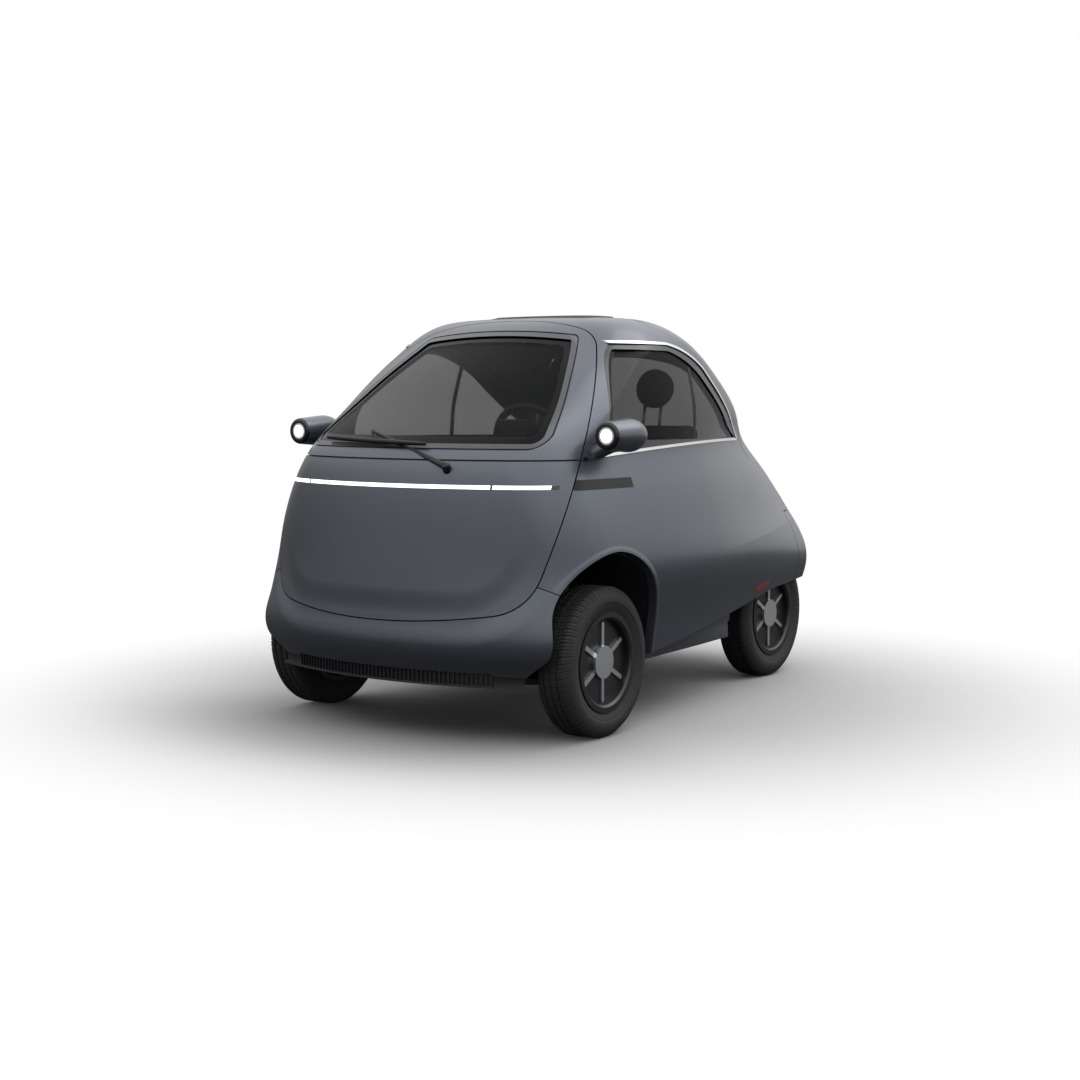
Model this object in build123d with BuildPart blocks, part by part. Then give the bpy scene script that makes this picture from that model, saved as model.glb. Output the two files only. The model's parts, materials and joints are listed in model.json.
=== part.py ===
from build123d import *
from collections import namedtuple
from math import asin, atan2, cos, degrees, hypot, radians, sin, sqrt, tan
import os

# A two-seat electric bubble car whose front is one door, hinged on the car's left side.
# Frame: origin on the ground at the middle of the footprint, +X to the car's left, -Y to the front, +Z up.
# Lengthwise places are stations, measured back from the front axle.

os.makedirs("parts", exist_ok=True)

# ---------------------------------------------------------------- driving dimensions, millimetres
front_axle_y = -790.0        # the front axle in the frame; every station is counted from here
wheelbase = 1567.0
front_track = 1231.0
rear_track = 905.0

wall = 34.0                  # whole thickness of a door or side wall
crown_from = 1000.0          # above this height the walls also thin downwards
crown_top = 1500.0
seam_gap = 6.0               # clearance all round the door and the tailgate
fit_gap = 0.5                # clearance between pieces of one body
glass_depth = 5.0            # how far glass lies below the paint
glass_thickness = 5.0
strip_depth = 8.0            # how deep lamps and strips sit in the panels
strip_proud = 1.0            # how far they stand out of the paint
trim_proud = 4.0             # bright trim on the paint

tyre_radius = 266.5
tyre_width = 145.0
rim_seat_radius = 165.0
rim_flange_radius = 176.0
spindle_radius = 18.0
running_gap = 0.05

arch_radius = 297.0
arch_station = -9.0
arch_height = 360.0
housing_radius = 318.0       # front wheel housing, inside
housing_height = 330.0
housing_inner = 385.0        # its inner wall, half the footwell's width
sheet = 12.0                 # thickness of inner panels

floor_underside = 235.0
floor_thickness = 20.0
tub_top = 412.0
tub_rear = 1022.0

# ---------------------------------------------------------------- body skin
# One row per height: a closed ring of eight tangent arcs (nose, two nose corners, two sides,
# two tail corners, tail). nose, widest and tail are stations; the other lengths are radii and a half width.
Ring = namedtuple("Ring", "z nose nose_r nose_corner half_width widest side_r tail_corner tail tail_r")
BODY_RINGS = [
    Ring(200, -425, 1400, 110, 664, 100, 8000, 200, 1940, 1100),
    Ring(300, -456, 1400, 100, 688, 100, 8000, 210, 2010, 1100),
    Ring(380, -470, 1400, 100, 699, 100, 8000, 220, 2047, 1100),
    Ring(460, -459, 1300, 150, 715, 150, 8000, 230, 2050, 1100),
    Ring(560, -444, 1200, 260, 734, 200, 6500, 250, 2047, 1100),
    Ring(700, -423, 1200, 290, 719, 200, 5000, 300, 2025, 950),
    Ring(880, -390, 1200, 300, 668, 300, 3600, 350, 1910, 800),
    Ring(1000, -330, 1200, 300, 627, 350, 3000, 380, 1735, 720),
    Ring(1120, -165, 1100, 260, 615, 400, 2800, 380, 1570, 700),
    Ring(1270, 48, 1100, 210, 585, 450, 2400, 360, 1350, 650),
    Ring(1380, 210, 1100, 190, 545, 520, 2000, 320, 1170, 600),
    Ring(1440, 300, 1100, 180, 500, 580, 1800, 300, 1020, 600),
    Ring(1480, 390, 1000, 160, 410, 620, 1400, 240, 900, 500),
    Ring(1500, 520, 600, 100, 240, 680, 900, 110, 830, 400),
]


def station(distance):
    """The frame's y of a station measured back from the front axle."""
    return front_axle_y + distance


def circle_crossings(c0, r0, c1, r1):
    """The two points where two circles cross."""
    dx, dy = c1[0] - c0[0], c1[1] - c0[1]
    gap = hypot(dx, dy)
    along = (r0**2 - r1**2 + gap**2) / (2 * gap)
    across = sqrt(max(r0**2 - along**2, 0.0))
    mid = (c0[0] + along * dx / gap, c0[1] + along * dy / gap)
    step = (-dy * across / gap, dx * across / gap)
    return (mid[0] + step[0], mid[1] + step[1]), (mid[0] - step[0], mid[1] - step[1])


def beyond(centre, through, radius):
    """The point at radius from centre, in the direction of another point."""
    dx, dy = through[0] - centre[0], through[1] - centre[1]
    k = radius / hypot(dx, dy)
    return centre[0] + k * dx, centre[1] + k * dy


def arc_through(centre, radius, start, end):
    """Start, middle and end of the short arc about a centre."""
    middle = ((start[0] + end[0]) / 2, (start[1] + end[1]) / 2)
    return start, beyond(centre, middle, radius), end


def ring_arcs(ring, inset=0.0):
    """Eight tangent arcs of a ring that is symmetric about x = 0, each as start, middle and end."""
    nose_c = (0.0, ring.nose + ring.nose_r)
    side_c = (ring.half_width - ring.side_r, ring.widest)
    tail_c = (0.0, ring.tail - ring.tail_r)
    crossings = circle_crossings(nose_c, ring.nose_r - ring.nose_corner, side_c, ring.side_r - ring.nose_corner)
    corner_a = min(crossings, key=lambda p: p[1])
    crossings = circle_crossings(tail_c, ring.tail_r - ring.tail_corner, side_c, ring.side_r - ring.tail_corner)
    corner_b = max(crossings, key=lambda p: p[1])
    nose_r, side_r, tail_r = ring.nose_r - inset, ring.side_r - inset, ring.tail_r - inset
    p1 = beyond(nose_c, corner_a, nose_r)
    p2 = beyond(side_c, corner_a, side_r)
    p3 = beyond(side_c, corner_b, side_r)
    p4 = beyond(tail_c, corner_b, tail_r)
    left = [
        arc_through(corner_a, ring.nose_corner - inset, p1, p2),
        arc_through(side_c, side_r, p2, p3),
        arc_through(corner_b, ring.tail_corner - inset, p3, p4),
    ]

    def flip(p):
        return -p[0], p[1]

    nose = (flip(p1), (0.0, ring.nose + inset), p1)
    tail = (p4, (0.0, ring.tail - inset), flip(p4))
    right = [(flip(e), flip(m), flip(s)) for s, m, e in reversed(left)]
    return [nose, *left, tail, *right]


def ring_height(ring, depth):
    """The height of a ring of the skin that lies a depth below the paint."""
    crown = min(max((ring.z - crown_from) / (crown_top - crown_from), 0.0), 1.0)
    return ring.z - depth * crown


def ring_face(ring, inset, plane):
    """The face inside a ring, drawn on a plane."""
    with BuildSketch(plane) as face:
        with BuildLine():
            for arc in ring_arcs(ring, inset):
                ThreePointArc(*arc)
        make_face()
    return face.sketch


def skin(depth, foot=0.0):
    """The solid inside the body's surface, a depth below the paint; foot carries it further down."""
    faces = []
    for ring in BODY_RINGS:
        lift = foot if ring is BODY_RINGS[0] else 0.0
        level = Plane((0, front_axle_y, ring_height(ring, depth) - lift))
        faces.append(ring_face(ring, depth, level))
    with BuildPart() as solid:
        loft(faces)
    return solid.part


def layer(top, bottom):
    """The skin between two depths below the paint."""
    with BuildPart() as between:
        add(skin(top, foot=20))
        add(skin(bottom, foot=20), mode=Mode.SUBTRACT)
    return between.part


def side_prism(points, x_from, x_to):
    """A prism along X with a polygon of stations and heights."""
    with BuildPart() as prism:
        with BuildSketch(Plane.YZ.offset(x_from)):
            with BuildLine():
                Polyline(*[(station(s), z) for s, z in points], close=True)
            make_face()
        extrude(amount=x_to - x_from)
    return prism.part


def slab(x_range, station_range, z_range):
    """A block between two values of x, station and height."""
    with BuildPart() as block:
        centre = [(a + b) / 2 for a, b in (x_range, station_range, z_range)]
        size = [b - a for a, b in (x_range, station_range, z_range)]
        with Locations((centre[0], station(centre[1]), centre[2])):
            Box(*size)
    return block.part


def ring_prism(ring, plane, reach_in, reach_out, grow=0.0, flare=0.0):
    """A prism about a plane's normal whose outline is a ring; flare widens it outwards, in degrees."""
    widening = tan(radians(flare))
    inside = ring_face(ring, reach_in * widening - grow, plane.offset(-reach_in))
    outside = ring_face(ring, -reach_out * widening - grow, plane.offset(reach_out))
    with BuildPart() as prism:
        loft([inside, outside], ruled=True)
    return prism.part


def rod(start, end, radius):
    """A round bar between two points."""
    axis = Vector(*end) - Vector(*start)
    with BuildPart() as bar:
        with BuildSketch(Plane(origin=start, z_dir=axis)):
            Circle(radius)
        extrude(amount=axis.length)
    return bar.part


def both_sides(part):
    """A part and its mirror image about the car's middle plane."""
    with BuildPart() as pair:
        add(part)
        mirror(about=Plane.YZ)
    return pair.part


def save(name, part):
    """Label a finished piece and write it."""
    part.label = name
    export_step(part, f"parts/{name}.step")


# ---------------------------------------------------------------- front door, tailgate and their glass
# Outlines are rings drawn on leaning planes: x across the car, y up the plane.
door_lean = 38.2
door_foot_station = -450.0
door_foot_height = 424.0
door_flare = 40.0
DOOR_OUTLINE = Ring(0, -6, 2790, 192, 624, 98, 3360, 160, 1337, 1444)
windshield_lean = 55.3
windshield_reach = 440.0     # its cut ends at this station, short of the tail
windshield_foot_station = -320.0
windshield_foot_height = 1008.0
Inset = namedtuple("Inset", "x z x_move z_move")    # a point, and how it moves for 1 mm of inset
WINDSHIELD_SIDE = (                                  # half its outline from the front
    Inset(541.0, 1008.0, -1.43, 1.0),
    Inset(474.0, 1190.0, -0.90, -0.43),
    Inset(346.0, 1417.0, -0.62, -0.935),
)
windshield_crown = 1437.0
windshield_corner = 44.0
windshield_frame = 20.0      # painted frame between the groove and the glass
frame_groove = 4.0
tailgate_lean = 53.8
tailgate_foot_station = 2030.0
tailgate_foot_height = 700.0
TAILGATE_OUTLINE = Ring(0, 0, 3000, 120, 480, 250, 2500, 150, 1190, 1500)
REAR_WINDOW_OUTLINE = Ring(0, 420, 3000, 90, 375, 600, 2000, 110, 1100, 1500)


def leaning_plane(foot_station, foot_height, lean, front=True):
    """A plane leaning back over the car from a foot line; its normal points out of the car."""
    outward = -1 if front else 1
    normal = (0, outward * cos(radians(lean)), sin(radians(lean)))
    return Plane(origin=(0, station(foot_station), foot_height), x_dir=(-outward, 0, 0), z_dir=normal)


door_plane = leaning_plane(door_foot_station, door_foot_height, door_lean)
windshield_plane = leaning_plane(windshield_foot_station, windshield_foot_height, windshield_lean)
tailgate_plane = leaning_plane(tailgate_foot_station, tailgate_foot_height, tailgate_lean, front=False)


def door_cut(grow):
    """The flared prism that parts the door from the body."""
    return ring_prism(DOOR_OUTLINE, door_plane, 115, 300, grow, door_flare)


def windshield_cut(inset):
    """The prism that looks at the windshield from the front, from the nose to the roof."""
    bottom, middle, top = [(p.x + p.x_move * inset, p.z + p.z_move * inset) for p in WINDSHIELD_SIDE]
    with BuildPart() as prism:
        with BuildSketch(Plane.XZ.offset(-station(windshield_reach))) as outline:
            with BuildLine():
                right = ThreePointArc((-bottom[0], bottom[1]), (-middle[0], middle[1]), (-top[0], top[1]))
                crown = ThreePointArc(right @ 1, (0, windshield_crown - inset), top)
                left = ThreePointArc(crown @ 1, middle, bottom)
                Line(left @ 1, right @ 0)
            make_face()
            fillet(outline.vertices(), windshield_corner - inset)
        extrude(amount=1100)
    return prism.part


def tailgate_cut(grow):
    """The prism that parts the tailgate from the body."""
    return ring_prism(TAILGATE_OUTLINE, tailgate_plane, 160, 130, grow)


# light bar of the door and lamp bar of the tailgate: bands between two heights
LIGHT_BAR = (876.0, 889.0)
COWL_GROOVE = (969.0, 975.0)
light_bar_half = 600.0
TAIL_LAMP = (742.0, 772.0)
tail_lamp_half = 430.0

shell_skin = skin(0)
with BuildPart() as whole_shell:
    add(shell_skin)
    add(skin(wall, foot=20), mode=Mode.SUBTRACT)
shell = whole_shell.part
groove_skin = layer(-20, strip_depth)
strip_skin = layer(-strip_proud, strip_depth)
glass_skin = layer(glass_depth, glass_depth + glass_thickness)

cowl_band = slab((-660, 660), (-700, -30), COWL_GROOVE)
frame_band = windshield_cut(0) - windshield_cut(frame_groove)
light_band = slab((-light_bar_half, light_bar_half), (-700, 200), LIGHT_BAR)
with BuildPart() as front_door:
    add(shell)
    add(door_cut(-seam_gap / 2), mode=Mode.INTERSECT)
    add(windshield_cut(windshield_frame), mode=Mode.SUBTRACT)
    add(groove_skin & (light_band + cowl_band + frame_band), mode=Mode.SUBTRACT)
save("front_door", front_door.part)

with BuildPart() as light_bar:
    add(strip_skin)
    add(light_band, mode=Mode.INTERSECT)
    add(door_cut(-seam_gap / 2), mode=Mode.INTERSECT)
save("light_bar", light_bar.part)

with BuildPart() as windshield:
    add(glass_skin)
    add(windshield_cut(windshield_frame), mode=Mode.INTERSECT)
save("windshield", windshield.part)

def wheel_tunnel(radius, centre_station, height, inner, outer=900.0):
    """Two cylinders about one cross axis, from a half width outwards."""
    with BuildPart() as tunnel:
        for side in (-1, 1):
            with Locations(Location((side * (inner + outer) / 2, station(centre_station), height), (0, 90, 0))):
                Cylinder(radius, outer - inner)
    return tunnel.part


lining_thickness = 22.0
lining_clear = 12.0          # from the wheel housings
LINING = (520.0, 925.0)
lining_margin = 14.0
dash_bar_half = 450.0
dash_bar_round = 20.0
with BuildPart() as dash_bar:
    with Locations((0, station(-290), 930)):
        Box(2 * dash_bar_half, 110, 50)
    fillet(dash_bar.edges().filter_by(Axis.X), dash_bar_round)
    add(skin(wall, foot=20), mode=Mode.INTERSECT)
with BuildPart() as door_lining:
    add(layer(wall, wall + lining_thickness))
    add(door_cut(-seam_gap / 2 - lining_margin), mode=Mode.INTERSECT)
    add(slab((-900, 900), (-700, 300), LINING), mode=Mode.INTERSECT)
    add(dash_bar.part)
    housing_room = wheel_tunnel(housing_radius + sheet + lining_clear, arch_station, housing_height,
                                housing_inner - sheet - lining_clear)
    add(housing_room, mode=Mode.SUBTRACT)
save("door_lining", door_lining.part)

# wiper: a pivot cap, a straight arm and a blade bent to the glass
wiper_clear = 14.0
WIPER_PIVOT = (241.0, -343.0, 939.0)
WIPER_TIP = (-150.0, -262.0, 1052.0)
BLADE_ENDS = ((-386.0, -237.0, 1030.0), (-130.0, -298.0, 1022.0), (128.0, -312.0, 1015.0))
lift = Vector(0, -cos(radians(windshield_lean)), sin(radians(windshield_lean)))


def off_glass(point, distance):
    """A point of the windshield's surface, moved outwards; y is a station."""
    return Vector(point[0], station(point[1]), point[2]) + lift * distance


with BuildPart() as wiper:
    add(rod(off_glass(WIPER_PIVOT, -6), off_glass(WIPER_PIVOT, 24), 15))
    add(rod(off_glass(WIPER_PIVOT, wiper_clear + 4), off_glass(WIPER_TIP, wiper_clear + 4), 7))
    with BuildLine() as blade_line:
        ThreePointArc(*[off_glass(p, wiper_clear) for p in BLADE_ENDS])
    with BuildSketch(Plane(origin=blade_line.line @ 0, z_dir=blade_line.line % 0)):
        Circle(6)
    sweep(path=blade_line.line)
    add(rod(off_glass(WIPER_TIP, wiper_clear + 4), off_glass(BLADE_ENDS[1], wiper_clear), 6))
    add(front_door.part, mode=Mode.SUBTRACT)
    add(windshield.part, mode=Mode.SUBTRACT)
save("wiper", wiper.part)

lamp_band = slab((-tail_lamp_half, tail_lamp_half), (1400, 2300), TAIL_LAMP)
with BuildPart() as tailgate:
    add(shell)
    add(tailgate_cut(-seam_gap / 2), mode=Mode.INTERSECT)
    add(ring_prism(REAR_WINDOW_OUTLINE, tailgate_plane, 160, 130), mode=Mode.SUBTRACT)
    add(groove_skin & lamp_band, mode=Mode.SUBTRACT)
save("tailgate", tailgate.part)

with BuildPart() as tail_lamp:
    add(strip_skin)
    add(lamp_band, mode=Mode.INTERSECT)
save("tail_lamp", tail_lamp.part)

with BuildPart() as rear_window:
    add(glass_skin)
    add(ring_prism(REAR_WINDOW_OUTLINE, tailgate_plane, 160, 130), mode=Mode.INTERSECT)
save("rear_window", rear_window.part)

# ---------------------------------------------------------------- body shell and bumpers
# Cuts seen from the side, as stations and heights.
BUMPER_REGION = [(-700, 852), (-200, 482), (-200, 100), (-700, 100)]
SKIRT_CUT = [(180, 0), (180, 262), (280, 262), (1400, 395), (2200, 408), (2200, 0)]
rear_bumper_station = 1700.0
rear_bumper_top = 696.0
panel_seam = 4.0             # gap between a bumper and the body
ROOF_OPENING = ((-310.0, 310.0), (445.0, 960.0))
roof_corner = 60.0
arch_axis = Location((0, station(arch_station), arch_height), (0, 90, 0))


window_corner = 22.0


def window_face(grow=0.0):
    """The side window's outline seen from the left, on the middle plane."""
    with BuildSketch(Plane.YZ) as face:
        with BuildLine():
            front = ThreePointArc((station(119), 1035), (station(165), 1190), (station(312), 1362))
            top = Line(front @ 1, (station(610), 1360))
            bow = ThreePointArc(top @ 1, (station(742), 1325), (station(865), 1268))
            slope = Line(bow @ 1, (station(1160), 1070))
            foot = Line(slope @ 1, (station(1290), 1022))
            Line(foot @ 1, front @ 0)
        make_face()
        fillet(face.vertices().sort_by(Axis.X)[:2], window_corner)
        if grow:
            offset(amount=grow, kind=Kind.INTERSECTION)
    return face.sketch


def window_cut():
    """The side window's prism through both flanks."""
    with BuildPart() as prism:
        extrude(window_face(), amount=900, both=True)
    return prism.part


with BuildPart() as roof_block:
    add(slab(*ROOF_OPENING, (1300, 1600)))
    fillet(roof_block.edges().filter_by(Axis.Z), roof_corner)
roof_hole = roof_block.part
bumper_block = side_prism(BUMPER_REGION, -900, 900)
arch_front, arch_rear = arch_station - arch_radius, arch_station + arch_radius
arch_legs = both_sides(slab((400, 900), (arch_front, arch_rear), (100, arch_height)))
arches = wheel_tunnel(arch_radius, arch_station, arch_height, 400) + arch_legs
rear_block = slab((-900, 900), (rear_bumper_station, 2300), (0, rear_bumper_top))
skirt_cut = side_prism(SKIRT_CUT, -900, 900)

STRIP_SIDE = ((560.0, 800.0), (-140.0, 182.0), (871.0, 906.0))
side_strip_block = slab(*STRIP_SIDE)
REFLECTOR = [(1180, 402), (1330, 419), (1330, 436), (1180, 419)]
reflector_block = side_prism(REFLECTOR, 500, 800)
small_blocks = both_sides(side_strip_block) + both_sides(reflector_block)

tread_half = 54.0
wheel_room_radius = 285.0    # hollow beside each rear wheel, narrowing with the tyre's shoulder
wheel_room_gap = 7.0
shoulder = rear_track / 2 + tread_half + 8
bulge = rear_track / 2 + tyre_width / 2
with BuildPart() as rear_wheel_room:
    add(wheel_tunnel(wheel_room_radius, wheelbase, tyre_radius, rear_track / 2 - 90, shoulder))
    for side in (-1, 1):
        middle = (shoulder + bulge + wheel_room_gap) / 2
        with Locations(Location((side * middle, station(wheelbase), tyre_radius), (0, side * 90, 0))):
            Cone(wheel_room_radius, wheel_room_radius - 45, bulge + wheel_room_gap - shoulder)
with BuildPart() as body_shell:
    add(shell)
    add(door_cut(seam_gap / 2), mode=Mode.SUBTRACT)
    add(tailgate_cut(seam_gap / 2), mode=Mode.SUBTRACT)
    add(bumper_block, mode=Mode.SUBTRACT)
    add(rear_block, mode=Mode.SUBTRACT)
    add(arches, mode=Mode.SUBTRACT)
    add(skirt_cut, mode=Mode.SUBTRACT)
    add(window_cut(), mode=Mode.SUBTRACT)
    add(roof_hole, mode=Mode.SUBTRACT)
    add(groove_skin & (small_blocks + cowl_band), mode=Mode.SUBTRACT)
    add(rear_wheel_room.part, mode=Mode.SUBTRACT)
save("body_shell", body_shell.part)

GRILLE = ((-440.0, 440.0), (-700.0, -250.0), (207.0, 250.0))
grille_block = slab(*GRILLE)
with BuildPart() as front_bumper:
    add(shell)
    add(bumper_block.moved(Location((0, 0, -panel_seam))), mode=Mode.INTERSECT)
    add(door_cut(seam_gap / 2), mode=Mode.SUBTRACT)
    add(arches, mode=Mode.SUBTRACT)
    add(slab((-900, 900), (arch_front, arch_rear), (100, arch_height)), mode=Mode.SUBTRACT)
    add(grille_block, mode=Mode.SUBTRACT)
save("front_bumper", front_bumper.part)

grille_radius = 1400.0
grille_front = -413.0
grille_depth = 12.0
fin_angle = 0.72
fin_width = 4.0
fin_reach = 10.0
fin_root = 3.0
grille_middle = (GRILLE[2][0] + GRILLE[2][1]) / 2
grille_height = GRILLE[2][1] - GRILLE[2][0]
grille_centre = (0, station(grille_front + grille_radius), grille_middle)
grille_half_angle = degrees(asin((GRILLE[0][1] - fin_width) / grille_radius))
fin_count = 2 * int(grille_half_angle / fin_angle) + 1
with BuildPart() as bumper_grille:
    with Locations(grille_centre):
        Cylinder(grille_radius, grille_height)
        Cylinder(grille_radius - grille_depth, grille_height, mode=Mode.SUBTRACT)
    grille_wedge = slab((-GRILLE[0][1], GRILLE[0][1]), (-700, 0), (GRILLE[2][0] - 5, GRILLE[2][1] + 5))
    add(grille_wedge, mode=Mode.INTERSECT)
    with Locations(Location(grille_centre)):
        fin_start = -90 - fin_angle * (fin_count // 2)
        with PolarLocations(grille_radius + fin_reach / 2 - fin_root, fin_count, fin_start, fin_angle * (fin_count - 1), True,
                            True):
            Box(fin_reach, fin_width, grille_height)
save("bumper_grille", bumper_grille.part)

with BuildPart() as rear_bumper:
    add(shell)
    add(rear_block.moved(Location((0, panel_seam, -panel_seam))), mode=Mode.INTERSECT)
    add(skirt_cut, mode=Mode.SUBTRACT)
    add(tailgate_cut(seam_gap / 2), mode=Mode.SUBTRACT)
    add(rear_wheel_room.part, mode=Mode.SUBTRACT)
save("rear_bumper", rear_bumper.part)

roof_seam = 4.0
roof_cover_depth = 14.0
with BuildPart() as roof_inside:
    (left_edge, right_edge), (front_edge, rear_edge) = ROOF_OPENING
    add(slab((left_edge + roof_seam, right_edge - roof_seam), (front_edge + roof_seam, rear_edge - roof_seam),
             (1300, 1600)))
    fillet(roof_inside.edges().filter_by(Axis.Z), roof_corner - roof_seam)
with BuildPart() as roof_cover:
    add(shell_skin)
    add(skin(roof_cover_depth), mode=Mode.SUBTRACT)
    add(roof_inside.part, mode=Mode.INTERSECT)
save("roof_cover", roof_cover.part)

with BuildPart() as side_windows:
    add(glass_skin)
    add(window_cut(), mode=Mode.INTERSECT)
save("side_windows", side_windows.part)

with BuildPart() as side_strips:
    add(strip_skin)
    add(both_sides(side_strip_block), mode=Mode.INTERSECT)
    add(door_cut(seam_gap / 2), mode=Mode.SUBTRACT)
save("side_strips", side_strips.part)

with BuildPart() as side_reflectors:
    add(strip_skin)
    add(both_sides(reflector_block), mode=Mode.INTERSECT)
save("side_reflectors", side_reflectors.part)

trim_width = 10.0
with BuildSketch(Plane.YZ) as trim_face:
    with BuildLine():
        belt = ThreePointArc((station(-58), 976), (station(400), 1003), (station(1310), 1014))
    trace(line_width=trim_width)
    with BuildLine():
        rail = Line((station(322), 1390), (station(610), 1388))
        bow = ThreePointArc(rail @ 1, (station(772), 1354), (station(905), 1300))
        fall = Line(bow @ 1, (station(1205), 1096))
        Line(fall @ 1, (station(1325), 1016))
    trace(line_width=trim_width)
with BuildPart() as window_trims:
    extrude(trim_face.sketch, amount=900, both=True)
    add(layer(-trim_proud, 0), mode=Mode.INTERSECT)
    add(door_cut(seam_gap / 2), mode=Mode.SUBTRACT)
    add(tailgate_cut(seam_gap), mode=Mode.SUBTRACT)
save("window_trims", window_trims.part)

# ---------------------------------------------------------------- lamp pods beside the windshield
pod_x = 705.0
pod_height = 1056.0
pod_front = -58.0
pod_rear = 140.0
pod_widest = 70.0
pod_radius = 59.0
pod_nose_radius = 50.0
pod_edge = 12.0
lens_radius = 34.0
mirror_radius = 42.0
lens_depth = 10.0
pod_arm_radius = 25.0
POD_ARM = ((590.0, 20.0, 985.0), (700.0, 45.0, 1035.0))


def pod_cylinder(radius, from_station, to_station):
    """Two drums along Y, one at each pod."""
    with BuildPart() as drums:
        for side in (-1, 1):
            middle = station((from_station + to_station) / 2)
            with Locations(Location((side * pod_x, middle, pod_height), (90, 0, 0))):
                Cylinder(radius, to_station - from_station)
    return drums.part


with BuildPart() as lamp_pods:
    with BuildSketch(Plane(origin=(pod_x, station(0), pod_height), x_dir=(0, 1, 0), z_dir=(0, 0, 1))):
        with BuildLine():
            nose = Line((pod_front, 0), (pod_front, pod_nose_radius - pod_edge))
            lip = ThreePointArc(nose @ 1, (pod_front + 0.3 * pod_edge, pod_nose_radius - 0.3 * pod_edge),
                                (pod_front + pod_edge, pod_nose_radius))
            flank = Line(lip @ 1, (pod_widest, pod_radius))
            heel = ThreePointArc(flank @ 1, ((pod_widest + 2 * pod_rear) / 3, pod_radius - 4),
                                 (pod_rear, mirror_radius + 4))
            Polyline(heel @ 1, (pod_rear, 0), nose @ 0)
        make_face()
    revolve(axis=Axis((pod_x, station(0), pod_height), (0, 1, 0)))
    add(rod((POD_ARM[0][0], station(POD_ARM[0][1]), POD_ARM[0][2]),
            (POD_ARM[1][0], station(POD_ARM[1][1]), POD_ARM[1][2]), pod_arm_radius))
    mirror(about=Plane.YZ)
    add(pod_cylinder(lens_radius, pod_front - 1, pod_front + lens_depth), mode=Mode.SUBTRACT)
    add(pod_cylinder(mirror_radius, pod_rear - lens_depth, pod_rear + 1), mode=Mode.SUBTRACT)
    add(shell_skin, mode=Mode.SUBTRACT)
    add(window_trims.part, mode=Mode.SUBTRACT)
save("lamp_pods", lamp_pods.part)

with BuildPart() as lamp_lenses:
    add(pod_cylinder(lens_radius, pod_front + 2, pod_front + lens_depth))
save("lamp_lenses", lamp_lenses.part)

with BuildPart() as mirror_glasses:
    add(pod_cylinder(mirror_radius, pod_rear - lens_depth, pod_rear - 4))
save("mirror_glasses", mirror_glasses.part)

# ---------------------------------------------------------------- floor tub and load floor
panel_gap = 8.0              # inner panels stand this far off the panels that move
panel_skin = skin(wall + panel_gap, foot=20)
wall_skin = skin(wall + fit_gap, foot=20)
tub_inside = skin(wall + panel_gap + sheet, foot=20)
tub_block = slab((-900, 900), (-700, tub_rear), (floor_underside, tub_top))
tub_room = slab((-900, 900), (-700, tub_rear - sheet), (floor_underside + floor_thickness, tub_top + 10))
housing_outside = wheel_tunnel(housing_radius + sheet, arch_station, housing_height, housing_inner - sheet)
housing_inside = wheel_tunnel(housing_radius, arch_station, housing_height, housing_inner)
above_floor = slab((-900, 900), (-700, 700), (floor_underside, 900))
with BuildPart() as housings:
    add(housing_outside)
    add(panel_skin, mode=Mode.INTERSECT)
    add(above_floor, mode=Mode.INTERSECT)
sill_block = slab((-900, 900), (300, tub_rear), (300, tub_top))
jack_x = 560.0               # jacking pads under the sills
jack_station = 450.0
jack_half = 35.0
jack_depth = 12.0
with BuildPart() as floor_pan:
    add(tub_block)
    add(panel_skin, mode=Mode.INTERSECT)
    add(sill_block & wall_skin)
    add(tub_room & tub_inside, mode=Mode.SUBTRACT)
    add(housings.part)
    add(housing_inside, mode=Mode.SUBTRACT)
    for side in (-1, 1):
        add(slab((side * jack_x - jack_half, side * jack_x + jack_half),
                 (jack_station - jack_half, jack_station + jack_half),
                 (floor_underside - jack_depth, floor_underside + 4)))
save("floor_pan", floor_pan.part)

load_floor_height = 600.0
with BuildPart() as load_floor:
    add(slab((-900, 900), (tub_rear - sheet, 2300), (load_floor_height, load_floor_height + sheet)))
    add(slab((-900, 900), (tub_rear - sheet, tub_rear), (tub_top, load_floor_height)))
    add(panel_skin, mode=Mode.INTERSECT)
save("load_floor", load_floor.part)

# ---------------------------------------------------------------- battery, motor, subframe, rear axle
BATTERY = ((-390.0, 390.0), (480.0, 930.0), (floor_underside + floor_thickness, 395.0))
MOTOR = ((-160.0, 160.0), (1300.0, 1538.5), (190.0, 410.0))
with BuildPart() as battery_block:
    add(slab(*BATTERY))
    fillet(battery_block.edges().filter_by(Axis.Z), 15)
save("battery_block", battery_block.part)

axle_height = tyre_radius
axle_tube_radius = 28.0
arm_section = 44.0
arm_x = 330.0
arm_pivot_radius = 24.0
arm_pivot_station = tub_rear + arm_pivot_radius + 0.3
arm_pivot_height = 250.0
hub_face = rear_track / 2 - 24.0
with BuildPart() as rear_axle:
    add(rod((-hub_face, station(wheelbase), axle_height), (hub_face, station(wheelbase), axle_height),
            axle_tube_radius))
    add(rod((-rear_track / 2 - 40, station(wheelbase), axle_height),
            (rear_track / 2 + 40, station(wheelbase), axle_height), spindle_radius))
    for side in (-1, 1):
        add(rod((side * arm_x, station(arm_pivot_station), arm_pivot_height),
                (side * arm_x, station(wheelbase), axle_height), arm_section / 2))
    add(rod((-arm_x - 30, station(arm_pivot_station), arm_pivot_height),
            (arm_x + 30, station(arm_pivot_station), arm_pivot_height), arm_pivot_radius))
save("rear_axle", rear_axle.part)

with BuildPart() as motor_block:
    add(slab(*MOTOR))
    fillet(motor_block.edges().filter_by(Axis.X), 40)
save("motor_block", motor_block.part)

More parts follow.
